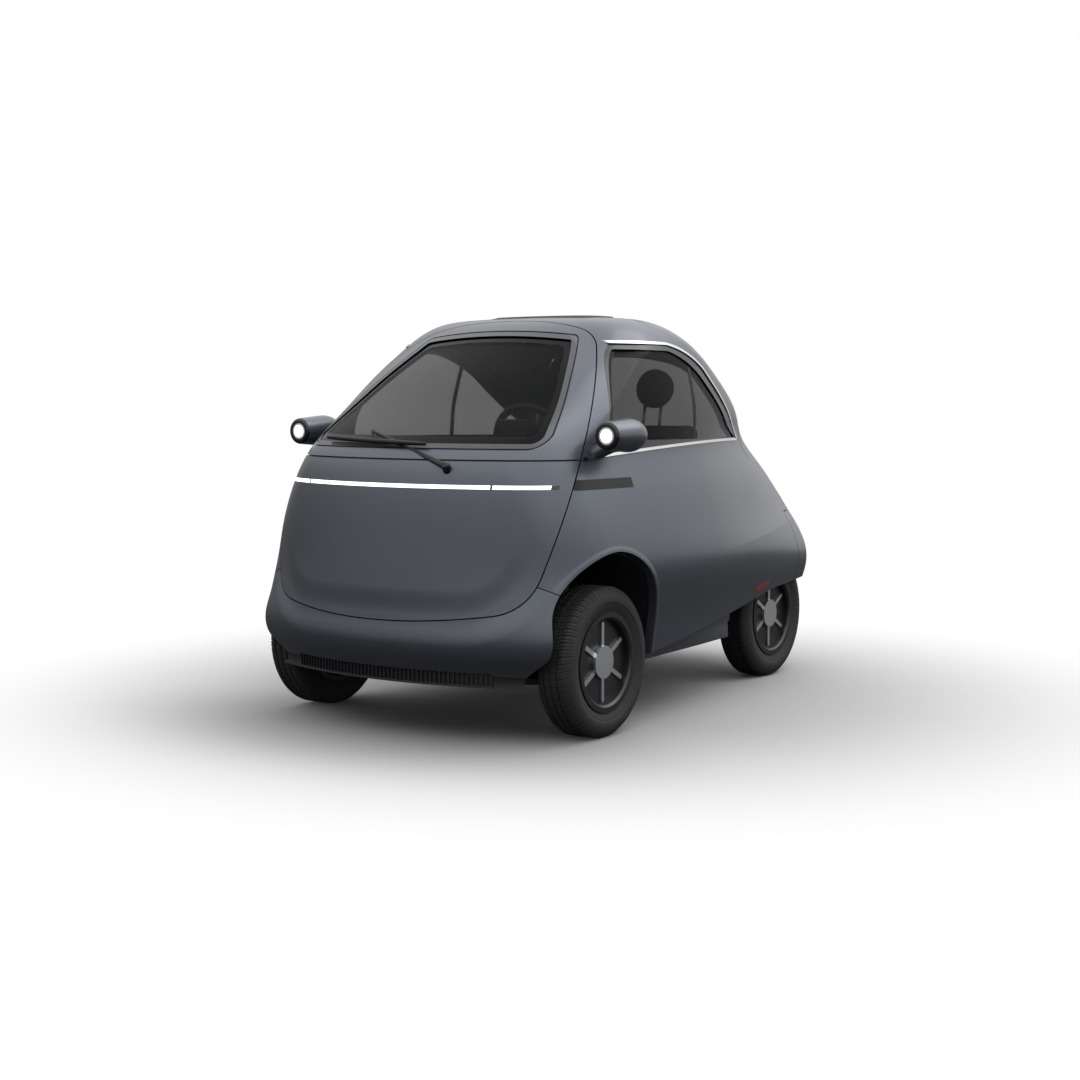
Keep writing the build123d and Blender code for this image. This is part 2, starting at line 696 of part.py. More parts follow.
subframe_half = 330.0
subframe_reach = 150.0
subframe_rail = 50.0
subframe_underside = 165.0
tow_x = -280.0               # threaded socket of the screw-in towing eye
tow_height = 182.5
tow_boss_radius = 17.0
tow_boss_length = 60.0
tow_bore_radius = 8.0
tow_bore_depth = 40.0
with BuildPart() as front_subframe:
    with BuildSketch(Plane.XY.offset(subframe_underside)):
        with Locations((0, front_axle_y)):
            Rectangle(2 * subframe_half, 2 * subframe_reach)
            Rectangle(2 * (subframe_half - subframe_rail), 2 * (subframe_reach - subframe_rail), mode=Mode.SUBTRACT)
    extrude(amount=floor_underside - subframe_underside)
    tow_mouth = (tow_x, station(-subframe_reach - tow_boss_length), tow_height)
    add(rod(tow_mouth, (tow_x, station(-subframe_reach), tow_height), tow_boss_radius))
    tow_end = (tow_x, station(-subframe_reach - tow_boss_length + tow_bore_depth), tow_height)
    add(rod(tow_mouth, tow_end, tow_bore_radius), mode=Mode.SUBTRACT)
save("front_subframe", front_subframe.part)

# ---------------------------------------------------------------- front suspension and steering
ball_x, ball_height = 552.0, 185.0
strut_top_x, strut_top_height = 466.0, 634.0
strut_end = 643.0            # the strut's upper end, under the wheel housing
strut_radius = 22.0
strut_foot_height = 350.0
spring_radius = 40.0
spring_wire = 9.0
spring_foot_height = 556.0
arm_thickness = 22.0
steer_lean = (ball_x - strut_top_x) / (strut_top_height - ball_height)


def on_kingpin(height):
    """A point of the left wheel's steering axis."""
    return ball_x - (height - ball_height) * steer_lean, front_axle_y, height


with BuildPart() as lower_arms:
    with BuildSketch(Plane.XY.offset(ball_height - arm_thickness / 2)):
        with BuildLine():
            Polyline((subframe_half, station(-130)), (ball_x - 20, station(-22)), (ball_x - 20, station(22)),
                     (subframe_half, station(130)), (subframe_half, station(70)), (ball_x - 90, station(0)),
                     (subframe_half, station(-70)), close=True)
        make_face()
        with Locations((ball_x - 8, station(0))):
            Circle(26)
    extrude(amount=arm_thickness)
    mirror(about=Plane.YZ)
save("lower_arms", lower_arms.part)

spring_coils = 4
with BuildPart() as dampers:
    add(rod(on_kingpin(strut_foot_height), on_kingpin(strut_end), strut_radius))
    for coil in range(spring_coils):
        share = coil / (spring_coils - 1)
        height = spring_foot_height + share * (strut_top_height - spring_foot_height - spring_wire)
        place = Plane(origin=on_kingpin(height), z_dir=(-steer_lean, 0, 1))
        with Locations(Location(place)):
            Cylinder(spring_radius, spring_wire)
    add(rod((arm_x, station(1450), 291), (arm_x, station(1500), load_floor_height - 4), 24))
    mirror(about=Plane.YZ)
save("dampers", dampers.part)

collar_radius = 36.0
collar_top = 400.0
upright_width = 52.0
disc_radius = 120.0
for name, side in (("knuckle_left", 1), ("knuckle_right", -1)):
    with BuildPart() as knuckle:
        add(rod(on_kingpin(strut_foot_height - 30), on_kingpin(collar_top), collar_radius))
        add(rod(on_kingpin(strut_foot_height - 2), on_kingpin(collar_top + 20), strut_radius + running_gap),
            mode=Mode.SUBTRACT)
        add(rod(on_kingpin(ball_height + arm_thickness / 2 + 6), on_kingpin(strut_foot_height - 4), 22))
        add(rod((ball_x - 30, front_axle_y, tyre_radius), (front_track / 2 - 22, front_axle_y, tyre_radius), 40))
        add(rod((ball_x, front_axle_y, tyre_radius), (front_track / 2 + 40, front_axle_y, tyre_radius),
                spindle_radius))
        if side < 0:
            mirrored = mirror(about=Plane.YZ, mode=Mode.REPLACE)
    save(name, knuckle.part)

# ---------------------------------------------------------------- wheels
bead_half = 57.0
flange_half = 64.0
groove_width = 7.0
groove_depth = 6.0
GROOVES = (-27.0, 0.0, 27.0)
barrel_inside = 150.0
disc_offset = 30.0           # the wheel's face, outboard of its middle plane
disc_thickness = 12.0
hub_radius = 58.0
hub_half = 20.0
cap_height = 14.0
SPOKES = 6
spoke_width = 16.0
spoke_height = 7.0
spoke_reach = 142.0
slot_inner = 128.0
slot_outer = 138.0
slot_turn = 40.0


def wheel_plane(x, y):
    """The plane in which a wheel's section is drawn: its X runs along the axle, its Y outwards."""
    return Plane(origin=(x, y, tyre_radius), x_dir=(1, 0, 0), z_dir=(0, -1, 0))


def tyre_solid(x, y):
    """A tyre with three grooves, turned about its axle."""
    half = tyre_width / 2
    bulge = (rim_flange_radius + tyre_radius) / 2
    with BuildPart() as tyre:
        with BuildSketch(wheel_plane(x, y)) as section:
            with BuildLine():
                Line((-bead_half, rim_seat_radius + fit_gap), (bead_half, rim_seat_radius + fit_gap))
                Line((bead_half, rim_seat_radius + fit_gap), (bead_half, rim_flange_radius))
                right = ThreePointArc((bead_half, rim_flange_radius), (half, bulge), (tread_half + 8, tyre_radius - 14))
                Line(right @ 1, (tread_half - 8, tyre_radius))
                Line((tread_half - 8, tyre_radius), (8 - tread_half, tyre_radius))
                Line((8 - tread_half, tyre_radius), (-tread_half - 8, tyre_radius - 14))
                left = ThreePointArc((-tread_half - 8, tyre_radius - 14), (-half, bulge),
                                     (-bead_half, rim_flange_radius))
                Line(left @ 1, (-bead_half, rim_seat_radius + fit_gap))
            make_face()
            with Locations(*[(g, tyre_radius) for g in GROOVES]):
                Rectangle(groove_width, 2 * groove_depth, mode=Mode.SUBTRACT)
        revolve(axis=Axis((x, y, tyre_radius), (1, 0, 0)))
    return tyre.part


def rim_solid(x, y, side):
    """A rim with its hub, six spokes and cap; side points outboard."""
    face_x = x + side * disc_offset
    with BuildPart() as rim:
        with BuildSketch(wheel_plane(x, y)):
            with BuildLine():
                Polyline((-flange_half, rim_flange_radius), (-bead_half - fit_gap, rim_flange_radius),
                         (-bead_half - fit_gap, rim_seat_radius), (bead_half + fit_gap, rim_seat_radius),
                         (bead_half + fit_gap, rim_flange_radius), (flange_half, rim_flange_radius),
                         (flange_half, barrel_inside + 8), (bead_half, barrel_inside),
                         (-bead_half, barrel_inside), (-flange_half, barrel_inside + 8), close=True)
            make_face()
        revolve(axis=Axis((x, y, tyre_radius), (1, 0, 0)))
        with BuildSketch(Plane(origin=(face_x - side * disc_thickness / 2, y, tyre_radius),
                               x_dir=(0, 0, 1), z_dir=(side, 0, 0))):
            Circle(barrel_inside + 2)
            with PolarLocations(0, SPOKES, 30):
                SlotArc(CenterArc((0, 0), (slot_inner + slot_outer) / 2, -slot_turn / 2, slot_turn),
                        slot_outer - slot_inner, mode=Mode.SUBTRACT)
        extrude(amount=disc_thickness)
        with BuildSketch(Plane(origin=(face_x, y, tyre_radius), x_dir=(0, 0, 1), z_dir=(side, 0, 0))):
            with PolarLocations((hub_radius + spoke_reach) / 2 - 5, SPOKES):
                SlotOverall(spoke_reach - hub_radius + 10, spoke_width)
        extrude(amount=disc_thickness / 2 + spoke_height)
        with BuildSketch(Plane(origin=(x - side * hub_half, y, tyre_radius), x_dir=(0, 0, 1), z_dir=(side, 0, 0))):
            Circle(hub_radius)
        extrude(amount=hub_half + disc_offset + disc_thickness / 2 + cap_height)
        with Locations(Location((x - side * 10, y, tyre_radius), (0, 90, 0))):
            Cylinder(spindle_radius + running_gap, 2 * (hub_half + 34), mode=Mode.SUBTRACT)
    return rim.part


WHEELS = [
    # name, half track, station, side
    ("front_left", front_track / 2, 0.0, 1),
    ("front_right", front_track / 2, 0.0, -1),
    ("rear_left", rear_track / 2, wheelbase, 1),
    ("rear_right", rear_track / 2, wheelbase, -1),
]
for name, half_track, axle_station, side in WHEELS:
    save(f"tyre_{name}", tyre_solid(side * half_track, station(axle_station)))
    save(f"rim_{name}", rim_solid(side * half_track, station(axle_station), side))

# ---------------------------------------------------------------- seats
SEAT_BOX = ((-430.0, 430.0), (455.0, 950.0), (floor_underside + floor_thickness, 410.0))
SEAT = ((-500.0, 500.0), (440.0, 880.0), (SEAT_BOX[2][1], 540.0))
seat_round = 40.0
with BuildPart() as seat_cushion:
    add(slab(*SEAT))
    fillet(seat_cushion.edges(), seat_round)
save("seat_cushion", seat_cushion.part)

back_lean = 12.0
back_height = 560.0
back_thickness = 110.0
back_foot = (0.0, 860.0, 545.0)
back_plane = Plane(origin=(0, station(back_foot[1]), back_foot[2]), x_dir=(1, 0, 0),
                   z_dir=(0, sin(radians(back_lean)), cos(radians(back_lean))))
with BuildPart() as seat_backrest:
    with BuildSketch(back_plane):
        Rectangle(2 * 490, back_thickness)
    extrude(amount=back_height)
    fillet(seat_backrest.edges(), seat_round)
save("seat_backrest", seat_backrest.part)

headrest_x = 262.0
headrest_radius = 84.0
headrest_thickness = 80.0
headrest_up = 690.0          # its middle, up the backrest from its foot
post_spread = 38.0
post_radius = 6.0
with BuildPart() as headrests:
    for side in (-1, 1):
        middle = back_plane.offset(headrest_up).origin + Vector(side * headrest_x, 0, 0)
        with Locations(Location(middle, (90 - back_lean, 0, 0))):
            Cylinder(headrest_radius, headrest_thickness)
    fillet(headrests.edges().filter_by(GeomType.CIRCLE), 28)
    with BuildSketch(back_plane.offset(back_height)):
        with Locations(*[(side * headrest_x + spread, 0) for side in (-1, 1)
                         for spread in (-post_spread, post_spread)]):
            Circle(post_radius)
    extrude(amount=headrest_up - headrest_radius - back_height + 30)
save("headrests", headrests.part)

seat_sheet = 14.0
upright_x = 300.0
upright_width = 42.0
upright_thickness = 20.0
upright_foot = 133.0         # how far the uprights reach down from the backrest's foot
upright_top = 480.0
with BuildPart() as seat_frame:
    add(slab(*SEAT_BOX))
    add(slab((SEAT_BOX[0][0] + seat_sheet, SEAT_BOX[0][1] - seat_sheet),
             (SEAT_BOX[1][0] - 5, SEAT_BOX[1][1] + 5), (200, SEAT_BOX[2][1] - seat_sheet)), mode=Mode.SUBTRACT)
    with BuildSketch(back_plane.offset(-upright_foot)):
        with Locations((-upright_x, (back_thickness + upright_thickness) / 2),
                       (upright_x, (back_thickness + upright_thickness) / 2)):
            Rectangle(upright_width, upright_thickness)
    extrude(amount=upright_foot + upright_top)
save("seat_frame", seat_frame.part)

# ---------------------------------------------------------------- steering wheel, column and pedals
wheel_centre = Vector(240, station(190), 1000)
column_lean = 25.0
column_axis = Vector(0, cos(radians(column_lean)), sin(radians(column_lean)))
steering_plane = Plane(origin=wheel_centre, x_dir=(1, 0, 0), z_dir=column_axis)
grip_radius = 168.0
grip_thickness = 14.0
boss_radius = 38.0
with BuildPart() as steering_wheel:
    with Locations(Location(steering_plane)):
        Torus(grip_radius, grip_thickness)
    with BuildSketch(steering_plane.offset(-12)):
        Circle(boss_radius)
        for turn in (0, 180, -90):
            with Locations(Rot(0, 0, turn) * Pos(grip_radius / 2, 0, 0)):
                Rectangle(grip_radius - grip_thickness / 2, 26)
    extrude(amount=16)
save("steering_wheel", steering_wheel.part)

column_top = 14.0
column_length = 200.0
column_radius = 24.0
column_foot = wheel_centre - column_axis * (column_top + column_length)
with BuildPart() as steering_column:
    add(rod(tuple(wheel_centre - column_axis * column_top), tuple(column_foot), column_radius))
    with Locations(Location((wheel_centre.X + 210, column_foot.Y + 15, column_foot.Z + 8))):
        Box(460, 40, 36)
    with Locations(Location((wheel_centre.X, column_foot.Y + 70, column_foot.Z + 78))):
        Box(16, 20, 110)
    with Locations(Location((wheel_centre.X, column_foot.Y + 66, column_foot.Z + 160), (20, 0, 0))):
        Box(130, 14, 78)
    add(wall_skin, mode=Mode.INTERSECT)
save("steering_column", steering_column.part)

PEDALS = (175.0, 300.0)
with BuildPart() as pedals:
    for x in PEDALS:
        add(slab((x - 8, x + 8), (-40, -28), (floor_underside + floor_thickness, 400)))
        add(slab((x - 34, x + 34), (-28, -16), (345, 425)))
save("pedals", pedals.part)
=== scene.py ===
# %% [markdown]
# # A microcar with a front door
# This notebook dresses a CAD model of a small two-seat electric car. The solids keep their places and
# sizes. The cells below give them finishes, replace the plain ones with detailed pieces, and light them.

# %% Load the frame
import json
from math import cos, radians, sin
import bmesh
import bpy
import numpy as np
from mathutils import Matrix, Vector


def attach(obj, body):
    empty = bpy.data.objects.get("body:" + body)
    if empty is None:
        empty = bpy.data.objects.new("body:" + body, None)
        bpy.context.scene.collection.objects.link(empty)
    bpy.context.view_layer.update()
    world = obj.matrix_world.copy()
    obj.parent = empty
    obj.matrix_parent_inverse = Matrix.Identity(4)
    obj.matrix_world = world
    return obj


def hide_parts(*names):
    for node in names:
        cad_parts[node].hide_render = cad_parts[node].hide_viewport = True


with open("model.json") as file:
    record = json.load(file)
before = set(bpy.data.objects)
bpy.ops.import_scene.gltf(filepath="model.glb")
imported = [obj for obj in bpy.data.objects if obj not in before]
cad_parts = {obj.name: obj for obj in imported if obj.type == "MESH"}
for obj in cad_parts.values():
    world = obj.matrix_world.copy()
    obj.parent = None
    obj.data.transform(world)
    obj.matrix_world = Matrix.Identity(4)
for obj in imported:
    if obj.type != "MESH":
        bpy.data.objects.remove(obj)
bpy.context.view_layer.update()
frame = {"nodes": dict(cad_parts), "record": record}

# %% [markdown]
# ## Helpers
# A mesh is made from a grid of points that a formula gives, all at once. A material is a small tree of
# nodes, and one function adds any node to it, so that each finish reads as a short list.

# %% Colours, nodes and materials
def linear(hex_colour, alpha=1.0):
    """sRGB hex to linear: below 0.04045 divide by 12.92, above it ((c + 0.055) / 1.055) ** 2.4."""
    c = np.array([int(hex_colour[i:i + 2], 16) for i in (1, 3, 5)]) / 255
    c = np.where(c <= 0.04045, c / 12.92, ((c + 0.055) / 1.055) ** 2.4)
    return (*map(float, c), alpha)


def add_node(tree, kind, inputs=None, **settings):
    """Adds one node. Settings are its properties; inputs are values, or sockets to link from."""
    made = tree.nodes.new(kind)
    for name, value in settings.items():
        setattr(made, name, value)
    for name, value in (inputs or {}).items():
        if isinstance(value, bpy.types.NodeSocket):
            tree.links.new(value, made.inputs[name])
        else:
            made.inputs[name].default_value = value
    return made


def start_material(name, **values):
    """A new material with one Principled shader, whose named sockets are set."""
    made = bpy.data.materials.new(name)
    made.use_nodes = True
    tree = made.node_tree
    shader = tree.nodes["Principled BSDF"]
    for socket, value in values.items():
        shader.inputs[socket.replace("_", " ")].default_value = value
    place = add_node(tree, "ShaderNodeTexCoord").outputs["Object"]
    return made, tree, shader, place


def maths(tree, operation, first, second=0.0, third=0.0):
    """One Math node: the result of an operation on numbers or sockets."""
    return add_node(tree, "ShaderNodeMath", {0: first, 1: second, 2: third}, operation=operation).outputs[0]


def step_up(tree, value, start, end):
    """0 below start and 1 above end, smooth between; swapped ends make it fall."""
    low, high = min(start, end), max(start, end)
    made = add_node(tree, "ShaderNodeMapRange", {"Value": value, "From Min": low, "From Max": high,
                                                 "To Min": float(start > end), "To Max": float(start < end)},
                    interpolation_type="SMOOTHSTEP")
    return made.outputs[0]


def blend_colour(tree, share, under, over):
    """The colour under, turning into the colour over as the share goes from 0 to 1."""
    made = add_node(tree, "ShaderNodeMix", {0: share, 6: under, 7: over}, data_type="RGBA")
    return made.outputs[2]


def axes(tree, place):
    """The X, Y and Z sockets of a place, with X taken as a distance from the car's middle plane."""
    parts = add_node(tree, "ShaderNodeSeparateXYZ", {"Vector": place})
    return maths(tree, "ABSOLUTE", parts.outputs["X"]), parts.outputs["Y"], parts.outputs["Z"]


def length_of(tree, first, second):
    """The root of the sum of the squares of two sockets."""
    return maths(tree, "SQRT", maths(tree, "MULTIPLY_ADD", first, first, maths(tree, "MULTIPLY", second, second)))


def beyond_circle(tree, across, up, points):
    """How far a place lies outside the circle through three points, drawn in the plane (across, up)."""
    (ax, az), (bx, bz), (cx, cz) = points
    rows = np.array([[bx - ax, bz - az], [cx - ax, cz - az]])
    sums = np.array([bx * bx - ax * ax + bz * bz - az * az, cx * cx - ax * ax + cz * cz - az * az]) / 2
    middle = np.linalg.solve(rows, sums)
    radius = float(np.hypot(ax - middle[0], az - middle[1]))
    side = maths(tree, "SUBTRACT", across, float(middle[0]))
    rise = maths(tree, "SUBTRACT", up, float(middle[1]))
    return maths(tree, "SUBTRACT", length_of(tree, side, rise), radius)


# %% A mesh from a grid of points
def grid_faces(rows, columns, wrap_rows=False, wrap_columns=False):
    """Quads between neighbours of a rows x columns grid, the last joined to the first where wrapped."""
    r = np.arange(rows if wrap_rows else rows - 1)
    c = np.arange(columns if wrap_columns else columns - 1)
    r, c = np.meshgrid(r, c, indexing="ij")
    r2, c2 = (r + 1) % rows, (c + 1) % columns
    quads = np.stack([r * columns + c, r2 * columns + c, r2 * columns + c2, r * columns + c2], axis=-1)
    return quads.reshape(-1, 4)


def add_mesh(name, points, quads, material, body, replaced=()):
    """A smooth-shaded object at the origin from points in metres and four-cornered faces."""
    mesh = bpy.data.meshes.new(name)
    mesh.from_pydata(points.reshape(-1, 3).tolist(), [], quads.tolist())
    mesh.polygons.foreach_set("use_smooth", np.ones(len(mesh.polygons), dtype=bool))
    mesh.materials.append(material)
    mesh.update()
    made = bpy.data.objects.new(name, mesh)
    bpy.context.scene.collection.objects.link(made)
    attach(made, body)
    if replaced:
        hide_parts(*replaced)
    return made


# %% [markdown]
# ## Round faces that shine evenly
# A CAD solid arrives as loose triangles. A small geometry tree, used as a modifier, welds them and shades
# them smoothly, except where two faces meet at more than a set angle. The mesh itself stays as it was.

# %% The welding modifier
def welding_group(angle):
    """Merge points nearer than 1 hundredth of a millimetre, shade smooth, keep edges over the angle sharp."""
    group = bpy.data.node_groups.new("weld_and_smooth", "GeometryNodeTree")
    group.interface.new_socket("Geometry", in_out="INPUT", socket_type="NodeSocketGeometry")
    group.interface.new_socket("Geometry", in_out="OUTPUT", socket_type="NodeSocketGeometry")
    source = add_node(group, "NodeGroupInput")
    welded = add_node(group, "GeometryNodeMergeByDistance",
                      {"Geometry": source.outputs[0], "Distance": 1e-5})
    turn = add_node(group, "GeometryNodeInputMeshEdgeAngle")
    sharp = add_node(group, "FunctionNodeCompare", {0: turn.outputs["Unsigned Angle"], 1: angle},
                     data_type="FLOAT", operation="LESS_EQUAL")
    faces = add_node(group, "GeometryNodeSetShadeSmooth", {"Geometry": welded.outputs[0]}, domain="FACE")
    edges = add_node(group, "GeometryNodeSetShadeSmooth",
                     {"Geometry": faces.outputs[0], "Shade Smooth": sharp.outputs[0]}, domain="EDGE")
    add_node(group, "NodeGroupOutput", {0: edges.outputs[0]})
    return group


weld_and_smooth = welding_group(radians(32))
for name, solid in frame["nodes"].items():
    solid.modifiers.new("weld_and_smooth", "NODES").node_group = weld_and_smooth
print(len(frame["nodes"]), "solids welded and smoothed")

# %% [markdown]
# ## Finishes
# Every finish is one Principled shader fed by a few procedural nodes. Patterns read Object coordinates, in
# metres, so that a grain of 0.4 mm gets a noise scale of about 1 / 0.0004.

# %% Satin metallic body paint
# Slate grey basecoat with fine aluminium flake under a satin clear coat. The flake gives a slow sparkle
# and lifts the colour where light grazes; the satin coat spreads highlights into soft bands. The shell
# is masked and sprayed black in the reveal between each side window and its bright trim.
FRONT_AXLE = -0.790      # Y of the front axle; stations are counted from it


# The side window's outline as (station, z) in metres: arcs through three points, a level rail and a slope.
BELT_ARC = ((-0.058, 0.976), (0.4, 1.003), (1.31, 1.014))
REAR_BOW = ((0.61, 1.388), (0.772, 1.354), (0.905, 1.3))
FRONT_EDGE = ((0.111, 1.03), (0.157, 1.193), (0.306, 1.369))
RAIL_HEIGHT = 1.388
REAR_SLOPE = (0.68, -1.9154)    # its line is slope * station + offset + z = 0


def past_window_front(tree, y, z):
    """How far a place lies ahead of the side window's front edge; further back its circle doesn't count."""
    return maths(tree, "MINIMUM", beyond_circle(tree, y, z, FRONT_EDGE), maths(tree, "MULTIPLY_ADD", y, -5.0, 2.0))


def window_reveal(tree, place):
    """1 inside the line of the side window's trim and 0 outside it, from arcs in the plane (Y, Z)."""
    _, y, z = axes(tree, place)
    y = maths(tree, "SUBTRACT", y, FRONT_AXLE)
    under_belt = maths(tree, "MULTIPLY", beyond_circle(tree, y, z, BELT_ARC), -1)
    over_rail = maths(tree, "SUBTRACT", z, RAIL_HEIGHT)
    past_bow = maths(tree, "MINIMUM", beyond_circle(tree, y, z, REAR_BOW), maths(tree, "MULTIPLY_ADD", y, 5.0, -2.8))
    past_fall = maths(tree, "ADD", maths(tree, "MULTIPLY_ADD", y, *REAR_SLOPE), z)
    worst = maths(tree, "MAXIMUM", under_belt, over_rail)
    for reach in (past_bow, past_fall, past_window_front(tree, y, z)):
        worst = maths(tree, "MAXIMUM", worst, reach)
    return step_up(tree, worst, 0.0, -0.001)


PANEL = (0.335, 0.676)          # half width and foot of the flat middle of the door's panel
PANEL_FALL = (0.14, 0.23)       # the skin falls between these distances from it
SHELF = (0.25, 0.34)            # and the bumper's shelf rises between these


def beyond_panel(tree, place):
    """Distance out of the flat middle of the door's panel, seen from the front, with round corners."""
    x, _, z = axes(tree, place)
    side = maths(tree, "MAXIMUM", maths(tree, "SUBTRACT", x, PANEL[0]), 0.0)
    drop = maths(tree, "MAXIMUM", maths(tree, "SUBTRACT", PANEL[1], z), 0.0)
    return length_of(tree, side, drop)


def door_pressing(tree, place):
    """Height of the door's skin: it falls 9 mm across a band outside a rounded panel."""
    return maths(tree, "MULTIPLY", step_up(tree, beyond_panel(tree, place), *PANEL_FALL), -0.009)


def bumper_pressing(tree, place):
    """Height of the bumper's skin: it rises by 12 mm in a band along the door's lower edge, as a shelf."""
    return maths(tree, "MULTIPLY", step_up(tree, beyond_panel(tree, place), *SHELF), 0.012)


def flank_pressing(tree, place):
    """Height of the flank's skin: a 3 mm lip round the front arch, and the rear crease. Off the crease, above
    and below, the skin falls with a slope that fades with the distance d as d - d^2 / (2 reach)."""
    _, y, z = axes(tree, place)
    y = maths(tree, "SUBTRACT", y, FRONT_AXLE)
    along = maths(tree, "ADD", y, 0.009)
    rise = maths(tree, "MAXIMUM", maths(tree, "SUBTRACT", z, 0.36), 0.0)
    reach = length_of(tree, along, rise)
    lip = maths(tree, "MULTIPLY", step_up(tree, reach, 0.319, 0.303), 0.003)
    under = maths(tree, "SUBTRACT", maths(tree, "MULTIPLY_ADD", y, 0.0596, 0.5535), z)
    press = lip
    for distance, fade, slope in ((under, 0.25, -0.03), (maths(tree, "MULTIPLY", under, -1.0), 0.16, -0.2)):
        off = maths(tree, "MINIMUM", maths(tree, "MAXIMUM", distance, 0.0), fade)
        fall = maths(tree, "MULTIPLY", off, maths(tree, "MULTIPLY_ADD", off, -0.5 / fade, 1.0))
        depth = maths(tree, "MULTIPLY", step_up(tree, y, 0.75, 1.2), slope)
        press = maths(tree, "MULTIPLY_ADD", fall, depth, press)
    return press


def paint(name, base, flake_size=0.0009, black_part=None, pressing=None, black_rough=0.26):
    made, tree, shader, place = start_material(name, Coat_Roughness=0.2, Coat_IOR=1.5)
    flake = add_node(tree, "ShaderNodeTexNoise", {"Vector": place, "Scale": 1 / flake_size, "Detail": 1.0})
    shade = add_node(tree, "ShaderNodeMapRange", {"Value": flake.outputs["Fac"], "From Min": 0.3,
                                                  "From Max": 0.7, "To Min": 0.9, "To Max": 1.1})
    colour = add_node(tree, "ShaderNodeHueSaturation", {"Color": linear(base), "Value": shade.outputs[0]})
    black = black_part(tree, place) if black_part else 0.0
    painted = maths(tree, "SUBTRACT", 1.0, black)
    colour = blend_colour(tree, black, colour.outputs[0], linear("#0B0C0D"))
    bump = add_node(tree, "ShaderNodeBump", {"Strength": 0.03, "Distance": 0.0002,
                                             "Height": flake.outputs["Fac"]})
    if pressing:
        bump = add_node(tree, "ShaderNodeBump", {"Distance": 1.0, "Height": pressing(tree, place),
                                                 "Normal": bump.outputs[0]})
    for socket, value in (("Base Color", colour), ("Metallic", maths(tree, "MULTIPLY", painted, 0.6)),
                          ("Roughness", maths(tree, "MULTIPLY_ADD", painted, 0.38 - black_rough, black_rough)),
                          ("Coat Weight", maths(tree, "MULTIPLY", painted, 0.3)), ("Normal", bump.outputs[0])):
        tree.links.new(value, shader.inputs[socket])
    return made


GLASS_SIDE = ((0.5124, 1.028), (0.456, 1.1814), (0.3336, 1.3983))
GLASS_CROWN = ((-0.3336, 1.3983), (0.0, 1.417), (0.3336, 1.3983))
GLASS_FOOT, GLASS_CORNER = 1.028, 0.044


def beyond_windshield(tree, place):
    """Distance outside the windshield's outline, seen from the front: arcs with corners rounded by 44 mm."""
    x, _, z = axes(tree, place)
    past_side = beyond_circle(tree, x, z, GLASS_SIDE)
    past_crown = beyond_circle(tree, x, z, GLASS_CROWN)
    past_end = maths(tree, "MAXIMUM", past_crown, maths(tree, "SUBTRACT", GLASS_FOOT, z))
    side, end = (maths(tree, "MAXIMUM", maths(tree, "ADD", reach, GLASS_CORNER), 0.0)
                 for reach in (past_side, past_end))
    return maths(tree, "SUBTRACT", length_of(tree, side, end), GLASS_CORNER)


def windshield_seal(tree, place):
    """0.55 on the 20 mm band of the door round the windshield, in the seal's shade, and 0 elsewhere."""
    reach = beyond_windshield(tree, place)
    z = axes(tree, place)[2]
    band = maths(tree, "MULTIPLY", step_up(tree, reach, 0.024, 0.021), step_up(tree, z, 0.985, 1.0))
    return maths(tree, "MULTIPLY", band, 0.55)


PAINT = "#4C5058"
body_paint = paint("satin_slate_paint", PAINT)
door_paint = paint("satin_slate_paint_on_pressed_door", PAINT, black_part=windshield_seal,
                   pressing=door_pressing)
shell_paint = paint("satin_slate_paint_with_black_reveal", PAINT, black_part=window_reveal,
                    pressing=flank_pressing)
tail_paint = paint("satin_slate_paint_on_creased_tail", PAINT, pressing=flank_pressing)


def painted_shade_at_bumper_foot(tree, place):
    """1 under 0.24 m, where the bumper's lower edge is painted black as shade, and 0 above it."""
    return step_up(tree, axes(tree, place)[2], 0.242, 0.24)


# The bumper's lower edge is painted black as shade, where it turns under towards the floor.
bumper_paint = paint("satin_slate_paint_over_painted_shade_edge", PAINT, black_part=painted_shade_at_bumper_foot, pressing=bumper_pressing,
                     black_rough=0.8)


def pan_inside(tree, place):
    """0 on the sills, the outward faces of the floor pan beyond 0.52 m from the middle, and 1 elsewhere."""
    x, _, _ = axes(tree, place)
    side = add_node(tree, "ShaderNodeSeparateXYZ", {"Vector": place}).outputs["X"]
    facing = add_node(tree, "ShaderNodeSeparateXYZ",
                      {"Vector": add_node(tree, "ShaderNodeNewGeometry").outputs["Normal"]}).outputs["X"]
    outward = maths(tree, "MULTIPLY", facing, maths(tree, "SIGN", side))
    sill = maths(tree, "MULTIPLY", step_up(tree, outward, 0.3, 0.35), step_up(tree, x, 0.52, 0.53))
    return maths(tree, "SUBTRACT", 1.0, sill)


pan_paint = paint("satin_slate_sill_and_black_pan", PAINT, black_part=pan_inside, black_rough=0.85)


def pod_face(tree, place):
    """1 on the lamp's front face, which is moulded black, and 0 on the painted housing behind it."""
    _, y, _ = axes(tree, place)
    return step_up(tree, maths(tree, "SUBTRACT", y, FRONT_AXLE), -0.048, -0.050)


pod_paint = paint("satin_slate_paint_with_black_face", PAINT, black_part=pod_face)


# %% Window glass
# Toughened glass, tinted in the mass and dark enough to hide the cabin at a glance. A pane is crossed by
# both its faces, so each face lets through the square root of what the pane does. A black ceramic border is
# fired onto each pane to hide the glue, and a bar of it divides each side window where its sliding half ends.
def windshield_border(tree, place):
    """1 within 24 mm of the windshield's outline, and 0 inside that."""
    return step_up(tree, beyond_windshield(tree, place), -0.025, -0.023)


